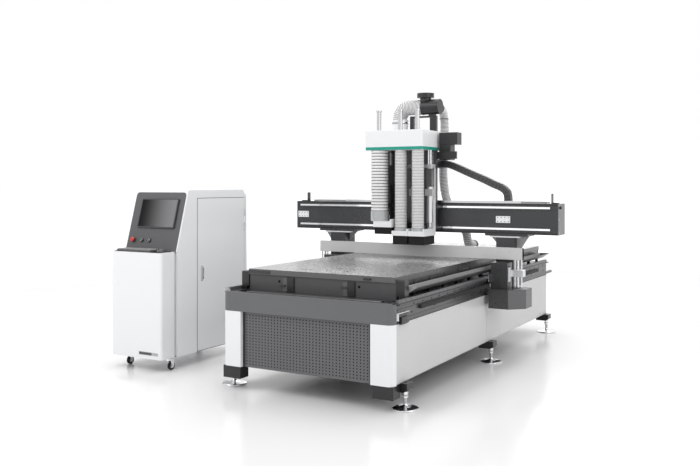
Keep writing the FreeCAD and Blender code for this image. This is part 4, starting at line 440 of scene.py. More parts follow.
class Piece:
    """One piece in the making, with the finishes that its faces take."""

    def __init__(self, name, *names):
        self.name = name
        self.names = list(names)
        self.bm = bmesh.new()

    def index(self, name):
        if name not in self.names:
            self.names.append(name)
        return self.names.index(name)

    def paint(self, faces, name):
        number = self.index(name)
        for face in faces:
            face.material_index = number

    def cad(self, node, choose, wide=1.5, steps=2):
        """Copies the solids of a CAD node with broken edges.

        choose is a finish, or choose(low, high) names one, (finish, edge), or None to leave a solid out."""
        source = bmesh.new()
        source.from_mesh(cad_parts[node].data)
        for faces in closed_solids(source):
            verts = list(dict.fromkeys(vert for face in faces for vert in face.verts))
            spots = [TO_BED @ vert.co for vert in verts]
            low = Vector([min(spot[i] for spot in spots) for i in range(3)])
            high = Vector([max(spot[i] for spot in spots) for i in range(3)])
            picked = choose(low, high) if callable(choose) else choose
            if picked is None:
                continue
            edge = wide
            if isinstance(picked, tuple):
                picked, edge = picked
            part = bmesh.new()
            copies = {vert: part.verts.new(spot) for vert, spot in zip(verts, spots)}
            for face in faces:
                part.faces.new([copies[vert] for vert in face.verts])
            bmesh.ops.remove_doubles(part, verts=part.verts, dist=0.002)
            bmesh.ops.dissolve_limit(part, angle_limit=FLAT, verts=part.verts, edges=part.edges)
            if edge:
                break_edges(part, part.edges, edge, steps)
            self.take(part, picked)
        source.free()
        return self

    def take(self, part, name):
        """Moves the faces of another mesh into the piece."""
        self.paint(part.faces, name)
        self.copy_in(part)

    def copy_in(self, part):
        holder = bpy.data.meshes.new("holder")
        part.to_mesh(holder)
        part.free()
        self.bm.from_mesh(holder)
        bpy.data.meshes.remove(holder)

    def block(self, name, low, high, wide=1.0, steps=2, turn=None, rounded=None):
        """A box between two corners with broken edges, turned about its middle.

        rounded=(axis, radius, steps) rounds the edges along one axis."""
        low, high = Vector(low), Vector(high)
        part = cuboid(high - low)
        if rounded:
            axis, radius, corner_steps = rounded
            bevel(part, edges_along(part, axis), radius, corner_steps)
        if wide:
            break_edges(part, part.edges, wide, steps)
        place(part, (low + high) / 2, turn)
        self.take(part, name)
        return self

    def skin(self, name, low, high, radius, thick, closed=True):
        """A thin wall round a box with round upright corners, open below, and above too if not closed."""
        low, high = Vector(low), Vector(high)
        part = cuboid(high - low)
        bevel(part, edges_along(part, "Z"), radius, 12)
        part.normal_update()
        if closed:
            rim = [edge for edge in part.edges if edge.verts[0].co.z > 0 and edge.verts[1].co.z > 0]
            bevel(part, rim, 4, 3)
            part.normal_update()
        gone = [face for face in part.faces if face.normal.z < -0.9 or (face.normal.z > 0.9 and not closed)]
        bmesh.ops.delete(part, geom=gone, context="FACES")
        bmesh.ops.recalc_face_normals(part, faces=part.faces)
        bmesh.ops.solidify(part, geom=part.faces[:], thickness=thick)
        bmesh.ops.recalc_face_normals(part, faces=part.faces)
        place(part, (low + high) / 2)
        self.take(part, name)
        return self

    def drum(self, name, axis, spot, radius, length, sides=32, wide=1.0):
        """A round piece from spot along an axis, with broken rims."""
        part = bmesh.new()
        bmesh.ops.create_cone(part, cap_ends=True, segments=sides, radius1=radius, radius2=radius,
                              depth=length)
        bmesh.ops.translate(part, vec=(0, 0, length / 2), verts=part.verts)
        if wide:
            break_edges(part, part.edges, wide, 2)
        place(part, spot, TURN[axis])
        self.take(part, name)
        return self

    def turned(self, name, axis, spot, outline, steps=48, turn=None):
        """A turned piece: an outline of (radius, height) spun about an axis through spot."""
        part = bmesh.new()
        verts = [part.verts.new((radius, 0, height)) for radius, height in outline]
        edges = [part.edges.new(pair) for pair in zip(verts, verts[1:])]
        bmesh.ops.spin(part, geom=verts + edges, cent=(0, 0, 0), axis=(0, 0, 1), angle=2 * math.pi,
                       steps=steps, use_merge=True)
        bmesh.ops.remove_doubles(part, verts=part.verts, dist=0.001)
        bmesh.ops.recalc_face_normals(part, faces=part.faces)
        place(part, spot, turn or TURN[axis])
        self.take(part, name)
        return self

    def tube(self, spots, radii, side=X, sides=32):
        """A hose skin: a ring of each radius at each spot, drawn on from ring to ring."""
        part = bmesh.new()
        last = len(spots) - 1
        bmesh.ops.create_circle(part, segments=sides, radius=1)
        ring = list(part.edges)
        where = Matrix.Identity(4)
        for i, (spot, (radius, name)) in enumerate(zip(spots, radii)):
            heading = (spots[min(i + 1, last)] - spots[max(i - 1, 0)]).normalized()
            side = (side - heading * side.dot(heading)).normalized()
            frame_of = Matrix((side, heading.cross(side), heading)).transposed().to_4x4()
            there = Matrix.Translation(spot) @ frame_of @ Matrix.Diagonal((radius, radius, 1, 1))
            if i:
                grown = bmesh.ops.extrude_edge_only(part, edges=ring)["geom"]
                fresh = [item for item in grown if isinstance(item, bmesh.types.BMFace)]
                verts = [item for item in grown if isinstance(item, bmesh.types.BMVert)]
                ring = [item for item in grown if isinstance(item, bmesh.types.BMEdge)
                        and all(vert in verts for vert in item.verts)]
                self.paint(fresh, name)
            else:
                verts = part.verts
            bmesh.ops.transform(part, matrix=there @ where.inverted(), verts=verts)
            where = there
        bmesh.ops.recalc_face_normals(part, faces=part.faces)
        self.copy_in(part)
        return self

    def bolts(self, name, axis, spots, radius=5.0, high=2.5, sign=1, sides=12):
        """Round bolt heads with a socket, standing sign times high above their spots along an axis."""
        for spot in spots:
            part = bmesh.new()
            bmesh.ops.create_cone(part, cap_ends=True, segments=sides, radius1=radius, radius2=radius * 0.9,
                                  depth=high)
            bmesh.ops.translate(part, vec=(0, 0, high / 2), verts=part.verts)
            cap = [face for face in part.faces if face.normal.z > 0.9]
            bmesh.ops.inset_region(part, faces=cap, thickness=radius * 0.42, depth=0)
            cap = [face for face in part.faces if face.normal.z > 0.9 and len(face.verts) == sides]
            bmesh.ops.inset_region(part, faces=cap, thickness=radius * 0.04, depth=-high * 0.45)
            turn = TURN[axis] if sign > 0 else TURN[axis] @ Matrix.Rotation(math.pi, 4, "X")
            place(part, spot, turn)
            self.take(part, name)
        return self

    def done(self, body, slot, *nodes, weighted=True):
        """Puts the piece in its place, gives it to a body and hides the CAD nodes that it stands for."""
        bmesh.ops.transform(self.bm, matrix=TO_ROW, verts=self.bm.verts)
        mesh = bpy.data.meshes.new(self.name)
        self.bm.to_mesh(mesh)
        self.bm.free()
        thing = bpy.data.objects.new(self.name, mesh)
        bpy.context.scene.collection.objects.link(thing)
        for name in self.names:
            mesh.materials.append(finish(name))
        mesh.shade_smooth()
        mesh.set_sharp_from_angle(angle=CREASE)
        if weighted:
            even = thing.modifiers.new("Even shading", "WEIGHTED_NORMAL")
            even.keep_sharp = True
            even.weight = 80
        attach(thing, body)
        if nodes:
            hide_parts(*nodes)
        return thing


def cuboid(size):
    """A box of a size about the origin."""
    part = bmesh.new()
    bmesh.ops.create_cube(part, size=1)
    bmesh.ops.scale(part, vec=size, verts=part.verts)
    return part


def edges_along(part, axis):
    """The edges of a box that run along an axis."""
    number = "XYZ".index(axis)
    return [edge for edge in part.edges
            if abs((edge.verts[0].co - edge.verts[1].co).normalized()[number]) > 0.9]


def bevel(part, edges, wide, steps, clamp_overlap=False):
    bmesh.ops.bevel(part, geom=edges, offset=wide, offset_type="OFFSET", affect="EDGES", segments=steps,
                    profile=0.5, material=-1, clamp_overlap=clamp_overlap)


def break_edges(part, edges, wide, steps):
    """Bevels the edges that are sharp enough to catch the light."""
    sharp = [edge for edge in edges if len(edge.link_faces) == 2 and edge.calc_face_angle(0) > SHARP]
    if sharp:
        bevel(part, sharp, wide, steps, True)


def place(part, spot, turn=None):
    """Turns a mesh about the origin and moves it to its spot."""
    if turn:
        bmesh.ops.transform(part, matrix=turn, verts=part.verts)
    bmesh.ops.translate(part, vec=spot, verts=part.verts)



class Step:
    """What every step of the making shares."""
    bl_options = {"REGISTER", "UNDO"}

    def execute(self, context):
        self.make(context)
        return {"FINISHED"}


def lamp(name, spot, target, size, power):
    data = bpy.data.lights.new(name, "AREA")
    data.shape = "RECTANGLE"
    data.size, data.size_y = size
    data.energy = power
    thing = bpy.data.objects.new(name, data)
    bpy.context.scene.collection.objects.link(thing)
    thing.location = spot
    thing.rotation_euler = (Vector(target) - Vector(spot)).to_track_quat("-Z", "Y").to_euler()
    return thing


FLOOR_HALF = 150
GLOW_FROM, GLOW_TO = 5.5, 15.0
CAMERA_SPOT = (3.435, -6.640, 1.500)
CAMERA_HEADING = math.radians(29.57)
CAMERA_SHIFT = -0.069
CAMERA_REACH = 400
LAMPS = {
    "key": ((-3.2, -5.0, 5.2), (0.2, -0.6, 0.8), (4.0, 3.0), 110),
    "side": ((6.0, -2.5, 3.4), (0.6, 0.0, 0.8), (3.0, 3.5), 55),
    "top": ((0.3, 0.8, 5.6), (0.3, 0.0, 0.8), (5.0, 5.0), 90),
    "back": ((-1.5, 5.6, 3.0), (0.3, 0.6, 1.1), (5.0, 2.0), 60),
}


class ROUTER_OT_stage(Step, bpy.types.Operator):
    """Lays the pale floor and sets the studio light and the camera"""
    bl_idname = "router.stage"
    bl_label = "Stage"

    def make(self, context):
        mesh = bpy.data.meshes.new("floor")
        bm = bmesh.new()
        bmesh.ops.create_grid(bm, x_segments=1, y_segments=1, size=FLOOR_HALF)
        bm.to_mesh(mesh)
        bm.free()
        floor = bpy.data.objects.new("floor", mesh)
        context.scene.collection.objects.link(floor)
        paper = sprayed("pale_floor", (0.85, 0.85, 0.852), (0.16, 0.2), 0.0, 0.005, 700.0, specular=0.45)
        tree = paper.node_tree
        away = add(tree, "ShaderNodeVectorMath", operation="LENGTH")
        tree.links.new(find(tree, "ShaderNodeTexCoord").outputs["Object"], away.inputs[0])
        glow = spread(tree, away.outputs["Value"], GLOW_FROM, GLOW_TO, 0.0, 0.4)
        tree.links.new(glow, tree.nodes["Principled BSDF"].inputs["Emission Color"])
        tree.nodes["Principled BSDF"].inputs["Emission Strength"].default_value = 1.0
        mesh.materials.append(paper)
        context.scene.view_settings.view_transform = "Standard"
        world = context.scene.world or bpy.data.worlds.new("Studio")
        context.scene.world = world
        world.use_nodes = True
        sky = world.node_tree.nodes["Background"]
        sky.inputs["Color"].default_value = (1, 1, 1, 1)
        way = add(world.node_tree, "ShaderNodeTexCoord")
        parts = add(world.node_tree, "ShaderNodeSeparateXYZ")
        world.node_tree.links.new(way.outputs["Generated"], parts.inputs[0])
        world.node_tree.links.new(spread(world.node_tree, parts.outputs["X"], 0.0, 0.9, 1.0, 0.95),
                                  sky.inputs["Strength"])
        for name, values in LAMPS.items():
            lamp(name, *values)
        data = bpy.data.cameras.new("photo_view")
        data.lens = context.scene.router_sizes.lens
        data.shift_y = CAMERA_SHIFT
        data.clip_end = CAMERA_REACH
        camera = bpy.data.objects.new("photo_view", data)
        context.scene.collection.objects.link(camera)
        camera.location = CAMERA_SPOT
        camera.rotation_euler = (math.pi / 2, 0, CAMERA_HEADING)
        context.scene.camera = camera


# the bed: side panels, beams, feet, skirts of the table and the recess in front of it
SIDE = 700
PANEL_ENDS = ((60, 1763), (1767, 3520))
PANEL_FRONT, PANEL_BACK = 60, 3520
BEAM_FRONT, BEAM_BACK = 70, 3510
FOOT_X = 714
FOOT_Y = (164, 1834, 3476)
THREAD_TURNS, THREAD_STEP, THREAD_FOOT = 28, 4.8, 40
TABLE_SIDE, SKIRT_FRONT, SKIRT_BACK = 612, 226, 3536
PORTS = (-346, 327)
RECESS_BRACKETS = (-244, 266)


def spots_along(start, end, count, make):
    """Places evenly spread between two values, each turned into a point by make."""
    return [Vector(make(start + (end - start) * i / max(1, count - 1))) for i in range(count)]


def side_block(piece, name, sign, low, high, wide):
    """A block given for the right side of the bed, made on the side of the sign."""
    left, right = sorted((sign * low[0], sign * high[0]))
    piece.block(name, (left, *low[1:]), (right, *high[1:]), wide)


class ROUTER_OT_bed_frame(Step, bpy.types.Operator):
    """Dresses the side beams, the lower frame and its panels"""
    bl_idname = "router.bed_frame"
    bl_label = "Bed frame and panels"

    def make(self, context):
        beams = Piece("side_beams_dressed").cad("side_beams", "cover", 3)
        for z in (599, 664):
            for sign in (1, -1):
                side_block(beams, "cover", sign, (SIDE, BEAM_FRONT, z), (SIDE + 4, BEAM_BACK, z + 9), 1.5)
        for sign in (1, -1):
            side_block(beams, "mid", sign, (SIDE - 3, BEAM_FRONT, 581), (SIDE + 3, BEAM_BACK, 585), 1)
            for start, count, z, radius in ((330, 22, 686, 5), (300, 9, 630, 7)):
                beams.bolts("dark", "X", spots_along(start, 3400, count, lambda y: (sign * SIDE, y, z)),
                            radius, 3, sign)
        beams.done("bed", "dark_frame", "side_beams")
        Piece("lower_frame").cad("frame_members", "dark", 3).done("bed", "dark_frame", "frame_members")
        # the side panels take the darker copy of the white coat, as painted shade on the sides turned from
        # the light
        panels = Piece("side_panels").cad(
            "body_panels", lambda low, high: "black" if high.y < 300 else "panel",
            context.scene.router_sizes.edge / MILLI)
        panels.block("white", (699, 60, 646), (715, 228, 650), 1)
        panels.block("white", (699, 58, 600), (715, 64, 650), 1)
        panels.block("black", (700, 96, 572), (722, 186, 621), 3)
        for sign in (1, -1):
            side_block(panels, "light", sign, (SIDE - 1.5, PANEL_FRONT + 1, 180),
                       (SIDE + 1.5, PANEL_BACK - 1, 184), 0.8)
            # a thin near-black line under the beam's edge: painted shade in the gap
            side_block(panels, "hole", sign, (SIDE - 0.4, PANEL_FRONT, 576), (SIDE + 0.4, PANEL_BACK, 580), 0)
        for sign in (1, -1):
            for start, end in PANEL_ENDS:
                for z in (193, 566):
                    spots = spots_along(start + 40, end - 40, 7, lambda y: (sign * SIDE, y, z))
                    panels.bolts("light", "X", spots, 4, 1.6, sign)
        panels.done("bed", "white_panel", "body_panels")


class ROUTER_OT_feet(Step, bpy.types.Operator):
    """Turns the levelling feet and breaks the edges of their brackets"""
    bl_idname = "router.feet"
    bl_label = "Levelling feet and brackets"

    def make(self, context):
        feet = Piece("levelling_feet_turned")
        for x in (-FOOT_X, FOOT_X):
            for y in FOOT_Y:
                feet.turned("chrome", "Z", (x, y, 0), [
                    (0, 0), (88, 0), (91, 2), (92, 4), (91.5, 7), (89, 10), (80, 12), (58, 14), (44, 16),
                    (34, 20), (24, 24), (17, 28), (14, 32), (14, 36), (12.4, 38)])
                thread = [(12.4, 38)]
                for i in range(THREAD_TURNS):
                    z = THREAD_FOOT + i * THREAD_STEP
                    thread += [(12.4, z), (11, z + 1.2), (11, z + 2.2), (12.4, z + 3.4)]
                thread += [(10.5, 174), (0, 174)]
                feet.turned("steel", "Z", (x, y, 0), thread, 20)
                for low, high in ((96, 117), (76, 88)):
                    feet.drum("chrome", "Z", (x, y, low), 19, high - low, 6, 1.5)
                feet.drum("steel", "Z", (x, y, 93), 24, 3, 28, 0.6)
        feet.done("bed", "foot_chrome", "levelling_feet")
        brackets = Piece("foot_brackets_dressed").cad("foot_brackets", "black", 3)
        brackets.done("bed", "dark_frame", "foot_brackets")


def grille_cell(radius, wide, tall, thick):
    """The mesh of one round hole in its bit of sheet, with the wall of the hole behind it, which takes the
    near-black hole finish as painted shade.
    """
    cell = bmesh.new()
    bmesh.ops.create_circle(cell, segments=8, radius=radius)
    bmesh.ops.rotate(cell, matrix=Matrix.Rotation(math.pi / 8, 3, "Z"), verts=cell.verts)
    grown = bmesh.ops.extrude_edge_only(cell, edges=cell.edges[:])["geom"]
    outer = [item for item in grown if isinstance(item, bmesh.types.BMVert)]
    for vert in outer:
        vert.co.x = math.copysign(wide / 2, vert.co.x)
        vert.co.y = math.copysign(tall / (2 if abs(vert.co.y) > radius / 2 else 4), vert.co.y)
    inner = [vert for vert in cell.verts if vert not in outer]
    rim = [item for item in cell.edges if all(vert in inner for vert in item.verts)]
    fall = bmesh.ops.extrude_edge_only(cell, edges=rim)["geom"]
    bmesh.ops.translate(cell, vec=(0, 0, -thick),
                        verts=[item for item in fall if isinstance(item, bmesh.types.BMVert)])
    # the walls of the hole take the second finish, near black: painted shade inside the hole
    for face in cell.faces:
        face.material_index = 1 if abs(face.normal.z) < 0.5 else 0
    bmesh.ops.recalc_face_normals(cell, faces=cell.faces)
    if max(cell.faces, key=lambda face: face.calc_center_median().z).normal.z < 0:
        bmesh.ops.reverse_faces(cell, faces=cell.faces)
    bmesh.ops.rotate(cell, matrix=Matrix.Rotation(math.pi / 2, 3, "X"), verts=cell.verts)
    holder = bpy.data.meshes.new("cell")
    cell.to_mesh(holder)
    cell.free()
    return holder


class ROUTER_OT_front(Step, bpy.types.Operator):
    """Dresses the front plate, rounds the corner posts and punches the grille"""
    bl_idname = "router.front"
    bl_label = "Front plate, posts and grille"

    def make(self, context):
        sizes = context.scene.router_sizes
        plate = Piece("front_plate").cad("front_fascia", "plate", 4, 3)
        leaning = Matrix.Rotation(math.radians(-24), 4, "Y")
        plate.block("light", (-690, 30, 700), (-672, 58, 744), 2, turn=leaning)
        plate.block("black", (-660, 52, 700), (660, 60, 716), 1)
        plate.done("bed", "fascia_grey", "front_fascia")
        posts = Piece("corner_posts_rounded").cad("corner_posts", "white", 1.2)
        posts.done("bed", "white_panel", "corner_posts")
        grille = Piece("punched_grille", "grille", "hole")
        low, high = Vector((-534, 30, 173)), Vector((534, 30, 577))
        border_side, border_end, sheet_thick = 22, 14, 2.5
        wide = (high.x - low.x - 2 * border_side) / sizes.hole_columns
        tall = (high.z - low.z - 2 * border_end) / sizes.hole_rows
        cell = grille_cell(sizes.hole / MILLI, wide, tall, sheet_thick)
        for column in range(sizes.hole_columns):
            x = low.x + border_side + wide * (column + 0.5)
            for row in range(sizes.hole_rows):
                z = low.z + border_end + tall * (row + 0.5)
                start = len(grille.bm.verts)
                grille.bm.from_mesh(cell)
                bmesh.ops.translate(grille.bm, vec=(x, low.y, z), verts=grille.bm.verts[start:])
        bpy.data.meshes.remove(cell)
        # a near-black sheet behind the holes: painted shade where the inside of the machine shows through
        grille.block("hole", (low.x, low.y + 2.6, low.z), (high.x, low.y + 3, high.z), 0)
        for x in (low.x, high.x - border_side):
            grille.block("black", (x, low.y - 2, low.z), (x + border_side, low.y + 2, high.z), 1)
        for z in (low.z, high.z - border_end):
            grille.block("grille", (low.x + border_side, low.y - 0.5, z),
                         (high.x - border_side, low.y + 2, z + border_end), 0.3)
        grille.done("bed", "black_grille", "front_grille")


class ROUTER_OT_table(Step, bpy.types.Operator):
    """Dresses the table, its posts, the trough in front and the chip trays"""
    bl_idname = "router.table"
    bl_label = "Table, trough and trays"

    def make(self, context):
        top = Piece("table_slab").cad("table_top", "table", 2)
        # the front edge takes middle grey and the other edges the darker cover paint: painted shade on the
        # edges turned from the light
        for face in top.bm.faces:
            if face.normal.z < 0.9:
                face.material_index = top.index("mid" if face.normal.y < -0.9 else "cover")
        top.done("bed", "table_metal", "table_top")
        posts = Piece("table_posts_dressed").cad("table_posts", "black", 1.5)
        for sign in (1, -1):
            for half, low, high, wide in ((1.5, 790, 829, 0.5), (2.5, 786, 791, 1)):
                side_block(posts, "cover", sign, (TABLE_SIDE - half, SKIRT_FRONT, low),
                           (TABLE_SIDE + half, SKIRT_BACK, high), wide)
        posts.done("bed", "dark_frame", "table_posts")

        def front_finish(low, high):
            if high.x - low.x > 1000:
                return ("recess", 1.2) if low.y > 200 else ("gloss", 2.5)
            return ("black", 1.5) if low.y < 207 else ("dark", 1.0)
        front = Piece("table_front_dressed").cad("table_front", front_finish)
        for y in (60, 196):
            front.block("gloss", (-560, y, 704), (560, y + 10, 709), 2)
        # thin near-black discs at the ports: painted shade inside the openings
        for x in PORTS:
            front.drum("hole", "Y", (x, 223.4, 785), 9.5, 0.5, 24, 0)
        for x in RECESS_BRACKETS:
            front.block("black", (x - 30, 214, 714), (x + 30, 224, 820), 2)
            front.block("mid", (x - 68, 220, 714), (x - 30, 224, 812), 1)
        front.done("bed", "dark_frame", "table_front")
        trays = Piece("chip_trays_bent").cad("chip_trays", lambda low, high: (
            "light" if high.y < 310 or high.x - low.x < 5 else "mid"), 0.6)
        trays.done("bed", "tray_metal", "chip_trays")
        rails = Piece("long_rails").cad(
            "y_rails", lambda low, high: "black" if high.z < 700 else "mid", 0.0)
        for sign in (1, -1):
            spots = spots_along(100, 3450, 44, lambda y: (sign * 714, y, 727))
            # flat near-black discs: painted shade inside the bolt holes
            rails.bolts("hole", "X", spots, 4, 0.4, sign)
            rails.bolts("hole", "Z", [Vector((sign * 703, spot.y, 736)) for spot in spots], 4.5, 0.5)
        rails.done("bed", "bright_steel", "y_rails")
        cylinders = Piece("locating_cylinders_dressed").cad("locating_cylinders", "black", 2)
        cylinders.done("bed", "silver_plate", "locating_cylinders")
        pins = Piece("locating_pins_turned").cad("locating_pins", "steel", 1.5)
        pins.done("locating_pins", "bright_steel", "locating_pins")


# the cabinet: its sloping console, buttons, door, cover and casters
SLOPE_RUN, SLOPE_RISE = 137, 480
SLOPE_FRONT, SLOPE_FOOT = 297, 956
SLOPE_TURN = Matrix.Rotation(-math.atan2(SLOPE_RUN, SLOPE_RISE), 4, "X")
FACING = SLOPE_TURN @ Matrix.Rotation(math.pi / 2, 4, "X")
CONSOLE_MIDDLE, SCREEN_MIDDLE = -1689.5, -1676.5
SCREEN_FOOT, SCREEN_HEAD = 1138, 1380
BUTTON_HIGH = 1037
START_X, STOP_X, ESTOP_X = -1803, -1721, -1898
DOOR_WALL, SEAM = -1401.4, 5
DOOR_FRONT, DOOR_BACK, DOOR_FOOT, DOOR_HEAD = 547, 1197, 102, 1389
COVER_LEFT, COVER_RIGHT, COVER_FRONT, COVER_BACK = -1963, -1416, 133, 300
CASTER_LEFT, CASTER_RIGHT, CASTER_FRONT, CASTER_REAR = -1888, -1440, 272, 1150
AXLE_HIGH = 35
KEY_ROWS, KEY_COLUMNS = 5, 17


def on_slope(x, z, out):
    """A place on the sloping console, out from its face."""
    turned = SLOPE_TURN @ Vector((0, -out, 0))
    return Vector((x, SLOPE_FRONT + (z - SLOPE_FOOT) * SLOPE_RUN / SLOPE_RISE, z)) + turned


def sloped(piece, name, spot, size, wide=0, rounded=None):
    """A plate that lies on the sloping console, with its middle at a spot."""
    half = Vector(size) / 2
    piece.block(name, spot - half, spot + half, wide, 2, SLOPE_TURN, rounded)


class ROUTER_OT_cabinet(Step, bpy.types.Operator):
    """Rounds the control cabinet, its front cover and its door"""
    bl_idname = "router.cabinet"
    bl_label = "Cabinet"

    def make(self, context):
        shell = Piece("cabinet_shell_dressed").cad("cabinet_shell", lambda low, high: (
            "chrome" if high.z < 101 and low.z < 50 else
            "steel" if low.x > -1403 else
            "black" if low.y > 1000 and low.x > -1940 and high.x < -1480 else "white"), 2.5, 3)
        for front, back, foot, head in (
                (DOOR_FRONT, DOOR_FRONT + SEAM, DOOR_FOOT, DOOR_HEAD),
                (DOOR_BACK - SEAM, DOOR_BACK, DOOR_FOOT, DOOR_HEAD),
                (DOOR_FRONT, DOOR_BACK, DOOR_HEAD - SEAM, DOOR_HEAD),
                (DOOR_FRONT, DOOR_BACK, DOOR_FOOT, DOOR_FOOT + SEAM)):
            shell.block("seam", (DOOR_WALL - 1, front, foot), (DOOR_WALL, back, head), 0)
        sloped(shell, "white", on_slope(CONSOLE_MIDDLE, 1203, -3.2), (569, 4, 515))
        shell.done("bed", "white_panel", "cabinet_shell")
        cover = Piece("cabinet_cover_dressed").cad("cabinet_cover", lambda low, high: (
            ("chrome", 0.8) if high.z < 101 and low.z < 95 else
            ("black", 0.6) if low.y > 299 else None), 0.8)
        for low, high, wide in ((100, 949, 1.2), (947, 953, 1.5)):
            cover.block("white", (COVER_LEFT, COVER_FRONT, low), (COVER_RIGHT, COVER_BACK, high), wide,
                        rounded=("Z", 22, 10))
        cover.block("black", (COVER_LEFT + 6, 140, 99.5), (COVER_RIGHT - 6, 296, 101), 0)
        cover.block("plaque", (-1657, 131.6, 130), (-1519, 133.4, 154), 0.7, rounded=("Y", 4, 10))
        cover.block("light", (-1516, 131.8, 130), (-1453, 133.4, 154), 0.6, rounded=("Y", 4, 10))
        # six slots in the plaque, their dark a painted shade of the openings
        for number in range(6):
            cover.block("hole", (-1645 + number * 20, 131.2, 139), (-1632 + number * 20, 131.7, 145), 0)
        cover.done("bed", "white_panel", "cabinet_cover")
        door = Piece("cabinet_door_dressed").cad("cabinet_door", "white", 1.0)
        door.block("light", (-1399.2, 592, 688), (-1398.2, 620, 818), 0.4, rounded=("X", 10, 10))
        door.done("cabinet_door", "white_panel", "cabinet_door")
        lever = Piece("door_handle_dressed").cad("door_handle", "silver", 3, 3)
        # a thin near-black disc: painted shade inside the keyhole
        lever.drum("hole", "X", (-1386, 606, 714), 5, 0.8, 20, 0)
        lever.done("door_handle", "black_plastic", "door_handle")


class ROUTER_OT_casters(Step, bpy.types.Operator):
    """Turns the casters under the cabinet"""
    bl_idname = "router.casters"
    bl_label = "Casters"

    def make(self, context):
        for name in ("caster_fork_left", "caster_fork_right"):
            fork = Piece(name + "_bent").cad(name, "chrome", 1.5)
            x = CASTER_LEFT if name.endswith("left") else CASTER_RIGHT
            for side in (-19.4, 18):
                fork.drum("steel", "X", (x + side, CASTER_FRONT, AXLE_HIGH), 7, 1.4, 6, 0.4)
            fork.drum("chrome", "Z", (x, 240, 84), 24, 6, 40, 1.5)
            fork.done(name, "foot_chrome", name)
        for name, y, across in (("caster_wheel_left", CASTER_FRONT, (CASTER_LEFT,)),
                                ("caster_wheel_right", CASTER_FRONT, (CASTER_RIGHT,)),
                                ("rear_caster_wheels", CASTER_REAR, (CASTER_LEFT, CASTER_RIGHT))):
            wheel = Piece(name + "_turned")
            for x in across:
                wheel.turned("rubber", "X", (x - 12, y, AXLE_HIGH), [
                    (20, 1.5), (30, 0.5), (33, 2), (34.7, 6), (35, 12), (34.7, 18), (33, 22), (30, 23.5),
                    (20, 22.5)])
                wheel.turned("silver", "X", (x - 12, y, AXLE_HIGH), [
                    (5.1, 1), (9, 1), (10, 3), (18, 3), (20.5, 0.8), (20.5, 23.2), (18, 21), (10, 21),
                    (9, 23), (5.1, 23), (5.1, 1)])
            wheel.done(name, "wheel_rubber", name)


class ROUTER_OT_console(Step, bpy.types.Operator):
    """Sets the sloping console with its screen, buttons, keyboard and mouse"""
    bl_idname = "router.console"
    bl_label = "Console"

    def make(self, context):
        plate = Piece("console_plate").cad("console_panel", lambda low, high: (
            None if high.z - low.z > 100 else "black"), 1.5)
        slab = cuboid((551, 4, 499))
        bevel(slab, [edge for edge in edges_along(slab, "Y") if edge.verts[0].co.z > 0], 30, 10)
        break_edges(slab, slab.edges, 1.2, 2)
        place(slab, on_slope(CONSOLE_MIDDLE, 1196, -2), SLOPE_TURN)
        plate.take(slab, "console")
        for x in (START_X, STOP_X, ESTOP_X):
            plate.turned("black", "Z", on_slope(x, BUTTON_HIGH, 0), [
                (12.8, 0), (12.8, 5), (14, 6.5), (17, 6.5), (19.5, 5), (20, 3), (20, 0)], 40, FACING)
        plate.done("bed", "console_grey", "console_panel")
        stop = Piece("estop_dressed")
        spot = on_slope(ESTOP_X, BUTTON_HIGH, 0)
        stop.turned("black", "Z", spot, [
            (0, -9.5), (11.8, -9.5), (11.8, 10), (16, 11.4), (16, 13)], 40, FACING)
        stop.turned("red", "Z", spot, [
            (0, 11.2), (17, 11.2), (20.6, 12.6), (21, 15), (20.4, 19), (17, 22.6), (11, 24.2),
            (0, 24.4)], 48, FACING)
        stop.done("estop_button", "estop_red", "estop_button")
        for name, x in (("start_button", START_X), ("stop_button", STOP_X)):
            button = Piece(name + "_dressed")
            spot = on_slope(x, BUTTON_HIGH, 0)
            button.turned("chrome", "Z", spot, [
                (0, -9.5), (11.8, -9.5), (11.8, 11), (11, 12.4), (9.6, 12.6)], 40, FACING)
            button.turned("green", "Z", spot, [
                (9.8, 9), (9.8, 13), (8.4, 13.9), (4, 14.1), (0, 14.1)], 40, FACING)
            button.done(name, "key_green", name)
        monitor = Piece("monitor_dressed")
        middle = (SCREEN_FOOT + SCREEN_HEAD) / 2
        tall = (SCREEN_HEAD - SCREEN_FOOT) * math.hypot(SLOPE_RUN, SLOPE_RISE) / SLOPE_RISE
        sloped(monitor, "bezel", on_slope(SCREEN_MIDDLE, middle, 7), (403, 14, tall), 1.5, ("Y", 6, 5))
        sloped(monitor, "screen", on_slope(SCREEN_MIDDLE, middle, 13.9), (383, 1.2, tall - 20), 0,
               ("Y", 2, 5))
        monitor.done("bed", "black_gloss", "monitor")
        keys = Piece("keyboard_dressed")
        keys.block("black", (-1946, 141, 952.5), (-1452, 292, 957), 2, rounded=("Z", 8, 10))
        keys.block("keybase", (-1930, 152, 956), (-1560, 284, 969), 2, rounded=("Z", 8, 10))
        for row in range(KEY_ROWS):
            for column in range(KEY_COLUMNS):
                x = -1923 + column * 21
                y = 160 + row * 23.5
                keys.block("keys", (x, y, 968), (x + 18, y + 20, 975), 1.6, 1)
        mouse = bmesh.new()
        bmesh.ops.create_uvsphere(mouse, u_segments=32, v_segments=20, radius=1)
        bmesh.ops.scale(mouse, vec=(29, 49, 31), verts=mouse.verts)
        bmesh.ops.bisect_plane(mouse, geom=mouse.verts[:] + mouse.edges[:] + mouse.faces[:],
                               plane_co=(0, 0, 0), plane_no=(0, 0, 1), clear_inner=True)
        bmesh.ops.holes_fill(mouse, edges=[edge for edge in mouse.edges if len(edge.link_faces) == 1])
        place(mouse, (-1510, 235, 954))
        keys.take(mouse, "keybase")
        keys.block("black", (-1512, 196, 972), (-1508, 216, 981), 1)
        keys.done("bed", "key_grey", "keyboard_and_mouse")


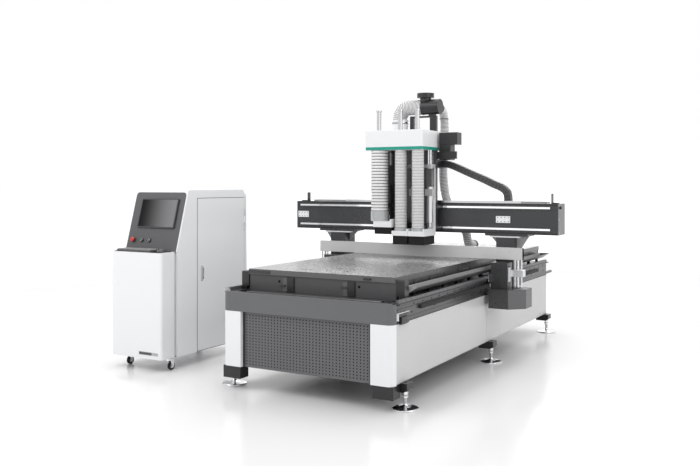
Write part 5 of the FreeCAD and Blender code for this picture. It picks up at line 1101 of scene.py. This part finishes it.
# the gantry: dark strips on the beam's face, the cross rails and the flanges of the legs
BEAM_HALF, BEAM_FACE = 1262, 1877.6
STRIPS = ((1083.6, 1099), (1143, 1146), (1288, 1291), (1323, 1341))
RAIL_HEIGHTS = (1127, 1307)
RAIL_LEFT, RAIL_RIGHT, RAIL_FACE = -1225.5, 1208.5, 1863
LEG_X = 818
FLANGE_HALF = 130


class ROUTER_OT_beam(Step, bpy.types.Operator):
    """Dresses the beam with its rails, junction plates and legs"""
    bl_idname = "router.beam"
    bl_label = "Beam and legs"

    def make(self, context):
        beam = Piece("beam_dressed").cad("gantry_beam", "dark", 4, 3)
        for low, high in STRIPS:
            beam.block("black", (-BEAM_HALF, BEAM_FACE, low), (BEAM_HALF, BEAM_FACE + 1.9, high), 0.3)
        beam.done("gantry", "gantry_grey", "gantry_beam")
        fittings = Piece("beam_fittings_dressed").cad("beam_fittings", lambda low, high: (
            "mid" if high.x - low.x < 7 and high.z - low.z > 200 else
            "black" if low.z > 1290 and high.z - low.z < 30 and low.x > 1200 else
            "black" if high.z > 1400 else
            "light" if high.x - low.x > 2000 else "white"), 1.0)
        for left, right, low, high in ((-1257, -1140, 1189, 1247), (743, 867, 1177, 1234)):
            spots = [(left + 14 + (right - left - 28) * i / 3, 1874.5, z) for i in range(4)
                     for z in (low + 12, high - 12)]
            fittings.bolts("dark", "Y", spots, 4, 2, -1)
        for x, sign in ((1275, 1), (-1270, -1)):
            spots = [(x, y, z) for y in (1890, 2066) for z in (1100, 1213, 1326)]
            fittings.bolts("steel", "X", spots, 6, 3, sign)
        fittings.done("gantry", "silver_plate", "beam_fittings")
        rails = Piece("cross_rails").cad(
            "x_rails", lambda low, high: "steel" if low.z > 1330 else "chrome", 0.0)
        for z in RAIL_HEIGHTS:
            spots = spots_along(-1205, 1188, 41, lambda x: (x, RAIL_FACE - 0.4, z))
            rails.bolts("dark", "Y", spots, 5.5, 0.5, -1)
            for middle in (z - 11.4, z + 11.4):
                rails.block("black", (RAIL_LEFT, RAIL_FACE - 1.2, middle - 3.4),
                            (RAIL_RIGHT, RAIL_FACE, middle + 3.4), 0)
        rails.done("gantry", "bright_steel", "x_rails")
        legs = Piece("legs_dressed").cad("gantry_legs", lambda low, high: (
            "light" if high.y - low.y < 13 and high.z > 1060 and low.z > 890 else "dark"), 1.5)
        for x in (LEG_X, -LEG_X):
            legs.block("silver", (x - FLANGE_HALF, 1876, 1053), (x + FLANGE_HALF, 2079, 1064.5), 1)
        legs.done("gantry", "gantry_grey", "gantry_legs")


class ROUTER_OT_drives(Step, bpy.types.Operator):
    """Dresses the drive covers, the motors, the carriages on the long rails and the lifts"""
    bl_idname = "router.drives"
    bl_label = "Drives and lifts"

    def make(self, context):
        covers = Piece("drive_covers_bent").cad("drive_covers", lambda low, high: (
            "mid" if 140 < high.z - low.z < 160 and 100 < high.x - low.x < 130 else "cover"), 1.0)
        covers.done("gantry", "gantry_grey", "drive_covers")
        for name, node, look, wide, slot in (
                ("long_carriages", "y_carriages", "steel", 1.0, "bright_steel"),
                ("drive_motors", "y_motors", "black", 1.5, "motor_black"),
                ("lift_blocks_dressed", "lift_blocks", "silver", 1.5, "silver_plate")):
            Piece(name).cad(node, look, wide).done("gantry", slot, node)
        bar = Piece("pusher_bar_dressed").cad("pusher_bar", lambda low, high: (
            "bar" if high.x - low.x > 100 else "chrome"), 2)
        bar.done("pusher_bar", "light_grey", "pusher_bar")
        for name in ("pinion_left", "pinion_right"):
            Piece(name + "_cut").cad(name, "steel", 0).done(name, "bright_steel", name)


class ROUTER_OT_carriage(Step, bpy.types.Operator):
    """Dresses the cross carriage and the boxes behind the head"""
    bl_idname = "router.carriage"
    bl_label = "Cross carriage and boxes"

    def make(self, context):
        plate = Piece("carriage_plate_dressed").cad("carriage_plate", lambda low, high: (
            "steel" if high.x - low.x < 25 else "dark"), 1.5)
        plate.done("carriage", "gantry_grey", "carriage_plate")
        boxes = Piece("head_boxes_dressed").cad("head_boxes", "black", 2)
        boxes.done("carriage", "black_plastic", "head_boxes")
        pinion = Piece("pinion_cross_cut").cad("pinion_x", "steel", 0)
        pinion.done("pinion_x", "bright_steel", "pinion_x")


HOOD_FOOT, HOOD_SHEET = 1801, 3
STUB = (-157.5, 1870.5)
RIBS_PER_STEP = 6
RIB_DEPTH = 4
BEND_REACH, BEND_FROM, BEND_TO = 95, 2093, 2188
OUTLET_X, OUTLET_Z = 385, 955
HEAD_HOSES = {"left": (-241, 1627, 1270, 76), "mid": (-24, 1608, 1130, 52), "right": (138, 1608, 1130, 52)}
SPINDLE_BOLTS = (1492, 1538, 1584, 1630)
CHAIN_SPOTS, GROOVE = 6, 1.6


class ROUTER_OT_hood(Step, bpy.types.Operator):
    """Dresses the hood with its coloured band, barrels and duct stub"""
    bl_idname = "router.hood"
    bl_label = "Hood"

    def make(self, context):
        def hood_finish(low, high):
            tall = high.z - low.z
            walls = 1800 < low.z < 1803 and tall > 100
            if high.z < 1980 and (walls or low.z > 1960 and abs(tall - HOOD_SHEET) > 0.01):
                return None
            return "steel" if tall > 170 and high.x - low.x < 60 else "white"
        hood = Piece("hood_dressed").cad("hood", hood_finish, 1.0)
        hood.skin("white", (-347.5, 1550.5, HOOD_FOOT), (204.5, 1968.5, 1972), 20, 3)
        hood.skin("band", (-348.5, 1549.5, 1802), (205.5, 1969.5, 1828), 21, 2, False)
        for z in (2046, 2070):
            hood.turned("dark", "Z", (*STUB, z), [(74, 0), (76.5, 0.5), (76.5, 3.5), (74, 4), (74, 0)])
        hood.turned("steel", "Z", (*STUB, 2051), [(74, 0), (75.5, 1), (75.5, 17), (74, 18), (74, 0)])
        hood.done("carriage", "white_panel", "hood")


def ribbed(start, end, pitch, radius, deep):
    """Outline along a straight hose: the reach of each ring and where it stands; the valleys between the ribs
    take painted crease shade.
    """
    count = max(1, round((end - start) / pitch))
    step = (end - start) / count
    rings = []
    for i in range(count):
        base = start + step * i
        for place, reach in ((0.0, 0), (0.12, 0), (0.24, 0.7), (0.36, 1), (0.72, 1), (0.86, 0.7)):
            # rings in the valleys take the painted shade of the creases
            rings.append((base + place * step, radius - deep + deep * reach, "hose" if reach else "gap"))
    rings.append((end, radius - deep, "gap"))
    return rings


def smooth_route(points, count):
    """Even places on a smooth line through the points."""
    data = bpy.data.curves.new("route", "CURVE")
    data.dimensions = "3D"
    data.resolution_u = 24
    line = data.splines.new("BEZIER")
    line.bezier_points.add(len(points) - 1)
    for place, point in zip(line.bezier_points, points):
        place.co = point
        place.handle_left_type = place.handle_right_type = "AUTO"
    thing = bpy.data.objects.new("route", data)
    mesh = bpy.data.meshes.new_from_object(thing)
    fine = [vert.co.copy() for vert in mesh.vertices]
    bpy.data.objects.remove(thing)
    bpy.data.curves.remove(data)
    bpy.data.meshes.remove(mesh)
    reach = [0.0]
    for start, end in zip(fine, fine[1:]):
        reach.append(reach[-1] + (end - start).length)
    spots = []
    place = 0
    for i in range(count + 1):
        goal = reach[-1] * i / count
        while place < len(reach) - 2 and reach[place + 1] < goal:
            place += 1
        part = (goal - reach[place]) / max(reach[place + 1] - reach[place], 1e-9)
        spots.append(fine[place].lerp(fine[place + 1], min(1.0, part)))
    return spots, reach[-1]


class ROUTER_OT_ducts(Step, bpy.types.Operator):
    """Forms the tee, the ribbed elbow and the long ribbed drop hose"""
    bl_idname = "router.ducts"
    bl_label = "Ducts"

    def make(self, context):
        tee = Piece("duct_tee_dressed").cad("duct_tee", lambda low, high: (
            "white" if high.x - low.x < 100 else "black"), 1.0)
        tee.done("carriage", "black_plastic", "duct_tee")
        ducts = Piece("duct_hoses_ribbed", "hose", "gap")
        pitch = context.scene.router_sizes.rib_pitch / MILLI
        bend = [Vector((-158, 1870, 2074)), Vector((-158, 1870, BEND_FROM))]
        for degrees in (22.5, 45, 67.5, 90):
            turn = math.radians(degrees)
            bend.append(Vector((-63 - BEND_REACH * math.cos(turn), 1870,
                                BEND_FROM + BEND_REACH * math.sin(turn))))
        bend += [Vector((0, 1870, BEND_TO)), Vector((72, 1870, BEND_TO))]
        drop = [Vector(spot) for spot in (
            (158, 2060, 2188), (158, 2086, 2183), (158, 2130, 2118), (158, 2130, 1844), (158, 2130, 1500),
            (200, 2130, 1330), (310, 2130, 1180), (372, 2130, 1070), (OUTLET_X, 2154.9, 979.9),
            (OUTLET_X, 2215, OUTLET_Z), (OUTLET_X, 2264, OUTLET_Z))]
        for route, radius, side in ((bend, 67, Y), (drop, 40, X)):
            count = round(smooth_route(route, 2)[1] / pitch)
            spots = smooth_route(route, count * RIBS_PER_STEP)[0]
            radii = []
            for i in range(len(spots)):
                # rings in the valleys take the painted shade of the creases between the ribs
                reach = (0, 0, 0.7, 1, 1, 0.7)[i % RIBS_PER_STEP] if i < len(spots) - 1 else 0
                radii.append((radius - RIB_DEPTH + RIB_DEPTH * reach, "hose" if reach else "gap"))
            ducts.tube(spots, radii, side)
        ducts.turned("black", "Y", (OUTLET_X, 2262, OUTLET_Z), [
            (36.5, 0), (43, 0), (44, 1), (44, 29), (43, 30), (37, 30), (36.5, 29), (36.5, 0)])
        for radius, axis, spot in ((68, "X", (66, 1870, 2188)), (41, "Z", (158, 2130, 2096))):
            ducts.turned("dark", axis, spot, [(radius - 3, 0), (radius + 1, 0.5), (radius + 1, 5.5),
                                              (radius - 3, 6), (radius - 3, 0)])
        ducts.done("carriage", "hose_grey", "duct_hoses")


class ROUTER_OT_chain(Step, bpy.types.Operator):
    """Links the cable chain from the head down to the beam"""
    bl_idname = "router.chain"
    bl_label = "Cable chain"

    def make(self, context):
        chain = Piece("cable_chain_linked", "chain", "black")
        route = [Vector((x, 2022, z)) for x, z in ((208, 1686), (242, 1684), (464, 1596), (657, 1512),
                                                     (786, 1440), (802, 1386), (802, 1352))]
        link = context.scene.router_sizes.link / MILLI
        count = round(smooth_route(route, 2)[1] / link)
        spots = smooth_route(route, count * CHAIN_SPOTS)[0]
        wide = 29.5 * math.sqrt(2)
        radii = [(wide if i % CHAIN_SPOTS else wide - GROOVE, "chain") for i in range(len(spots))]
        chain.tube(spots, radii, (Y + Vector((0, 0, 1))).normalized(), 4)
        chain.block("black", (204, 1991, 1655), (212, 2053, 1715), 2)
        chain.block("black", (771, 1991, 1346), (833, 2053, 1354), 2)
        for i in range(CHAIN_SPOTS // 2, len(spots) - CHAIN_SPOTS, CHAIN_SPOTS):
            heading = (spots[i + 1] - spots[i - 1]).normalized()
            turn = Matrix((heading, Y, heading.cross(Y))).transposed().to_4x4()
            chain.drum("black", "Y", spots[i] - Y * 30, 7, 1.2, 16, 0.3)
            chain.block("black", spots[i] - Vector((2, 26, 31)), spots[i] + Vector((2, 26, 31)), 0.5, 1, turn)
        chain.done("carriage", "black_plastic", "x_chain")


class ROUTER_OT_heads(Step, bpy.types.Operator):
    """Dresses the three heads: slides, spindles, dust shoes and their ribbed hoses"""
    bl_idname = "router.heads"
    bl_label = "Heads"

    def make(self, context):
        sizes = context.scene.router_sizes
        for side in ("left", "mid", "right"):
            body = "head_" + side
            left = side == "left"
            spindle = Piece("spindle_%s_dressed" % side).cad("spindle_" + side, lambda low, high: (
                "dark" if left else
                "light" if 50 < high.z - low.z < 70 else
                "chrome" if high.x - low.x < 20 else
                "white" if low.y > 1765 and high.z - low.z > 400 else "upright"), 1.2)
            if not left:
                spots = [TO_BED @ vert.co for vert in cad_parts["rotor_" + side].data.vertices]
                centre = (min(spot.x for spot in spots) + max(spot.x for spot in spots)) / 2
                spindle.block("mid", (centre - 29, 1708, 1482), (centre + 29, 1766, 1640), 2)
                spindle.bolts("dark", "Y", [(centre + across, 1708, z) for across in (-21, 21)
                                            for z in SPINDLE_BOLTS], 3.5, 2, -1)
                spindle.bolts("dark", "X", [(centre + 29, y, z) for y in (1718, 1756)
                                            for z in SPINDLE_BOLTS], 3.5, 2)
            spindle.done(body, "spindle_dark" if left else "spindle_silver", "spindle_" + side)
            Piece("rotor_%s_turned" % side).cad("rotor_" + side, "steel", 0.8).done(
                "rotor_" + side, "bright_steel", "rotor_" + side)
            shoe = Piece("dust_shoe_%s_dressed" % side).cad("dust_shoe_" + side, lambda low, high: (
                "clear" if left and high.z > 1205 or not left and high.z > 1125 else
                "black" if high.z - low.z > 25 and high.y - low.y > 100 and high.x - low.x > 100
                and high.z > 1105 and not left else
                "bristle" if high.z < (1135 if left else 1065) else "white"), 1.5)
            shoe.done(body, "shoe_grey", "dust_shoe_" + side)
            x, y, low, radius = HEAD_HOSES[side]
            pitch = (sizes.wide_pitch if left else sizes.rib_pitch) / MILLI
            # the valleys between the ribs of these hoses take painted crease shade
            rings = ribbed(low, HOOD_FOOT, pitch, radius, RIB_DEPTH)
            hose = Piece("hose_%s_ribbed" % side, "hose", "gap")
            hose.tube([Vector((x, y, z)) for z, reach, name in rings],
                      [(reach, name) for z, reach, name in rings])
            made = hose.done(body, "hose_grey", "hose_" + side, weighted=False)
            made.parent = None
            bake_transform(made)


class ROUTER_PT_steps(bpy.types.Panel):
    """The steps of the making, with the sizes and colours that they use"""
    bl_idname = "ROUTER_PT_steps"
    bl_label = "Gantry router"
    bl_space_type = "VIEW_3D"
    bl_region_type = "UI"
    bl_category = "Router"

    def draw(self, context):
        for values in (context.scene.router_sizes, context.scene.router_colours):
            column = self.layout.column()
            for name in values.__annotations__:
                column.prop(values, name)
        for step in STEPS:
            self.layout.operator(step.bl_idname)


STEPS = (ROUTER_OT_stage, ROUTER_OT_bed_frame, ROUTER_OT_feet, ROUTER_OT_front, ROUTER_OT_table,
         ROUTER_OT_cabinet, ROUTER_OT_casters, ROUTER_OT_console, ROUTER_OT_beam, ROUTER_OT_drives,
         ROUTER_OT_carriage, ROUTER_OT_hood, ROUTER_OT_ducts, ROUTER_OT_chain, ROUTER_OT_heads)
CLASSES = (RouterColours, RouterSizes) + STEPS + (ROUTER_PT_steps,)


def register():
    for item in CLASSES:
        bpy.utils.register_class(item)
    bpy.types.Scene.router_colours = PointerProperty(type=RouterColours)
    bpy.types.Scene.router_sizes = PointerProperty(type=RouterSizes)


def unregister():
    del bpy.types.Scene.router_sizes
    del bpy.types.Scene.router_colours
    for item in reversed(CLASSES):
        bpy.utils.unregister_class(item)


def main():
    register()
    for step in STEPS:
        getattr(bpy.ops.router, step.bl_idname.removeprefix("router."))()


if __name__ == "__main__":
    main()
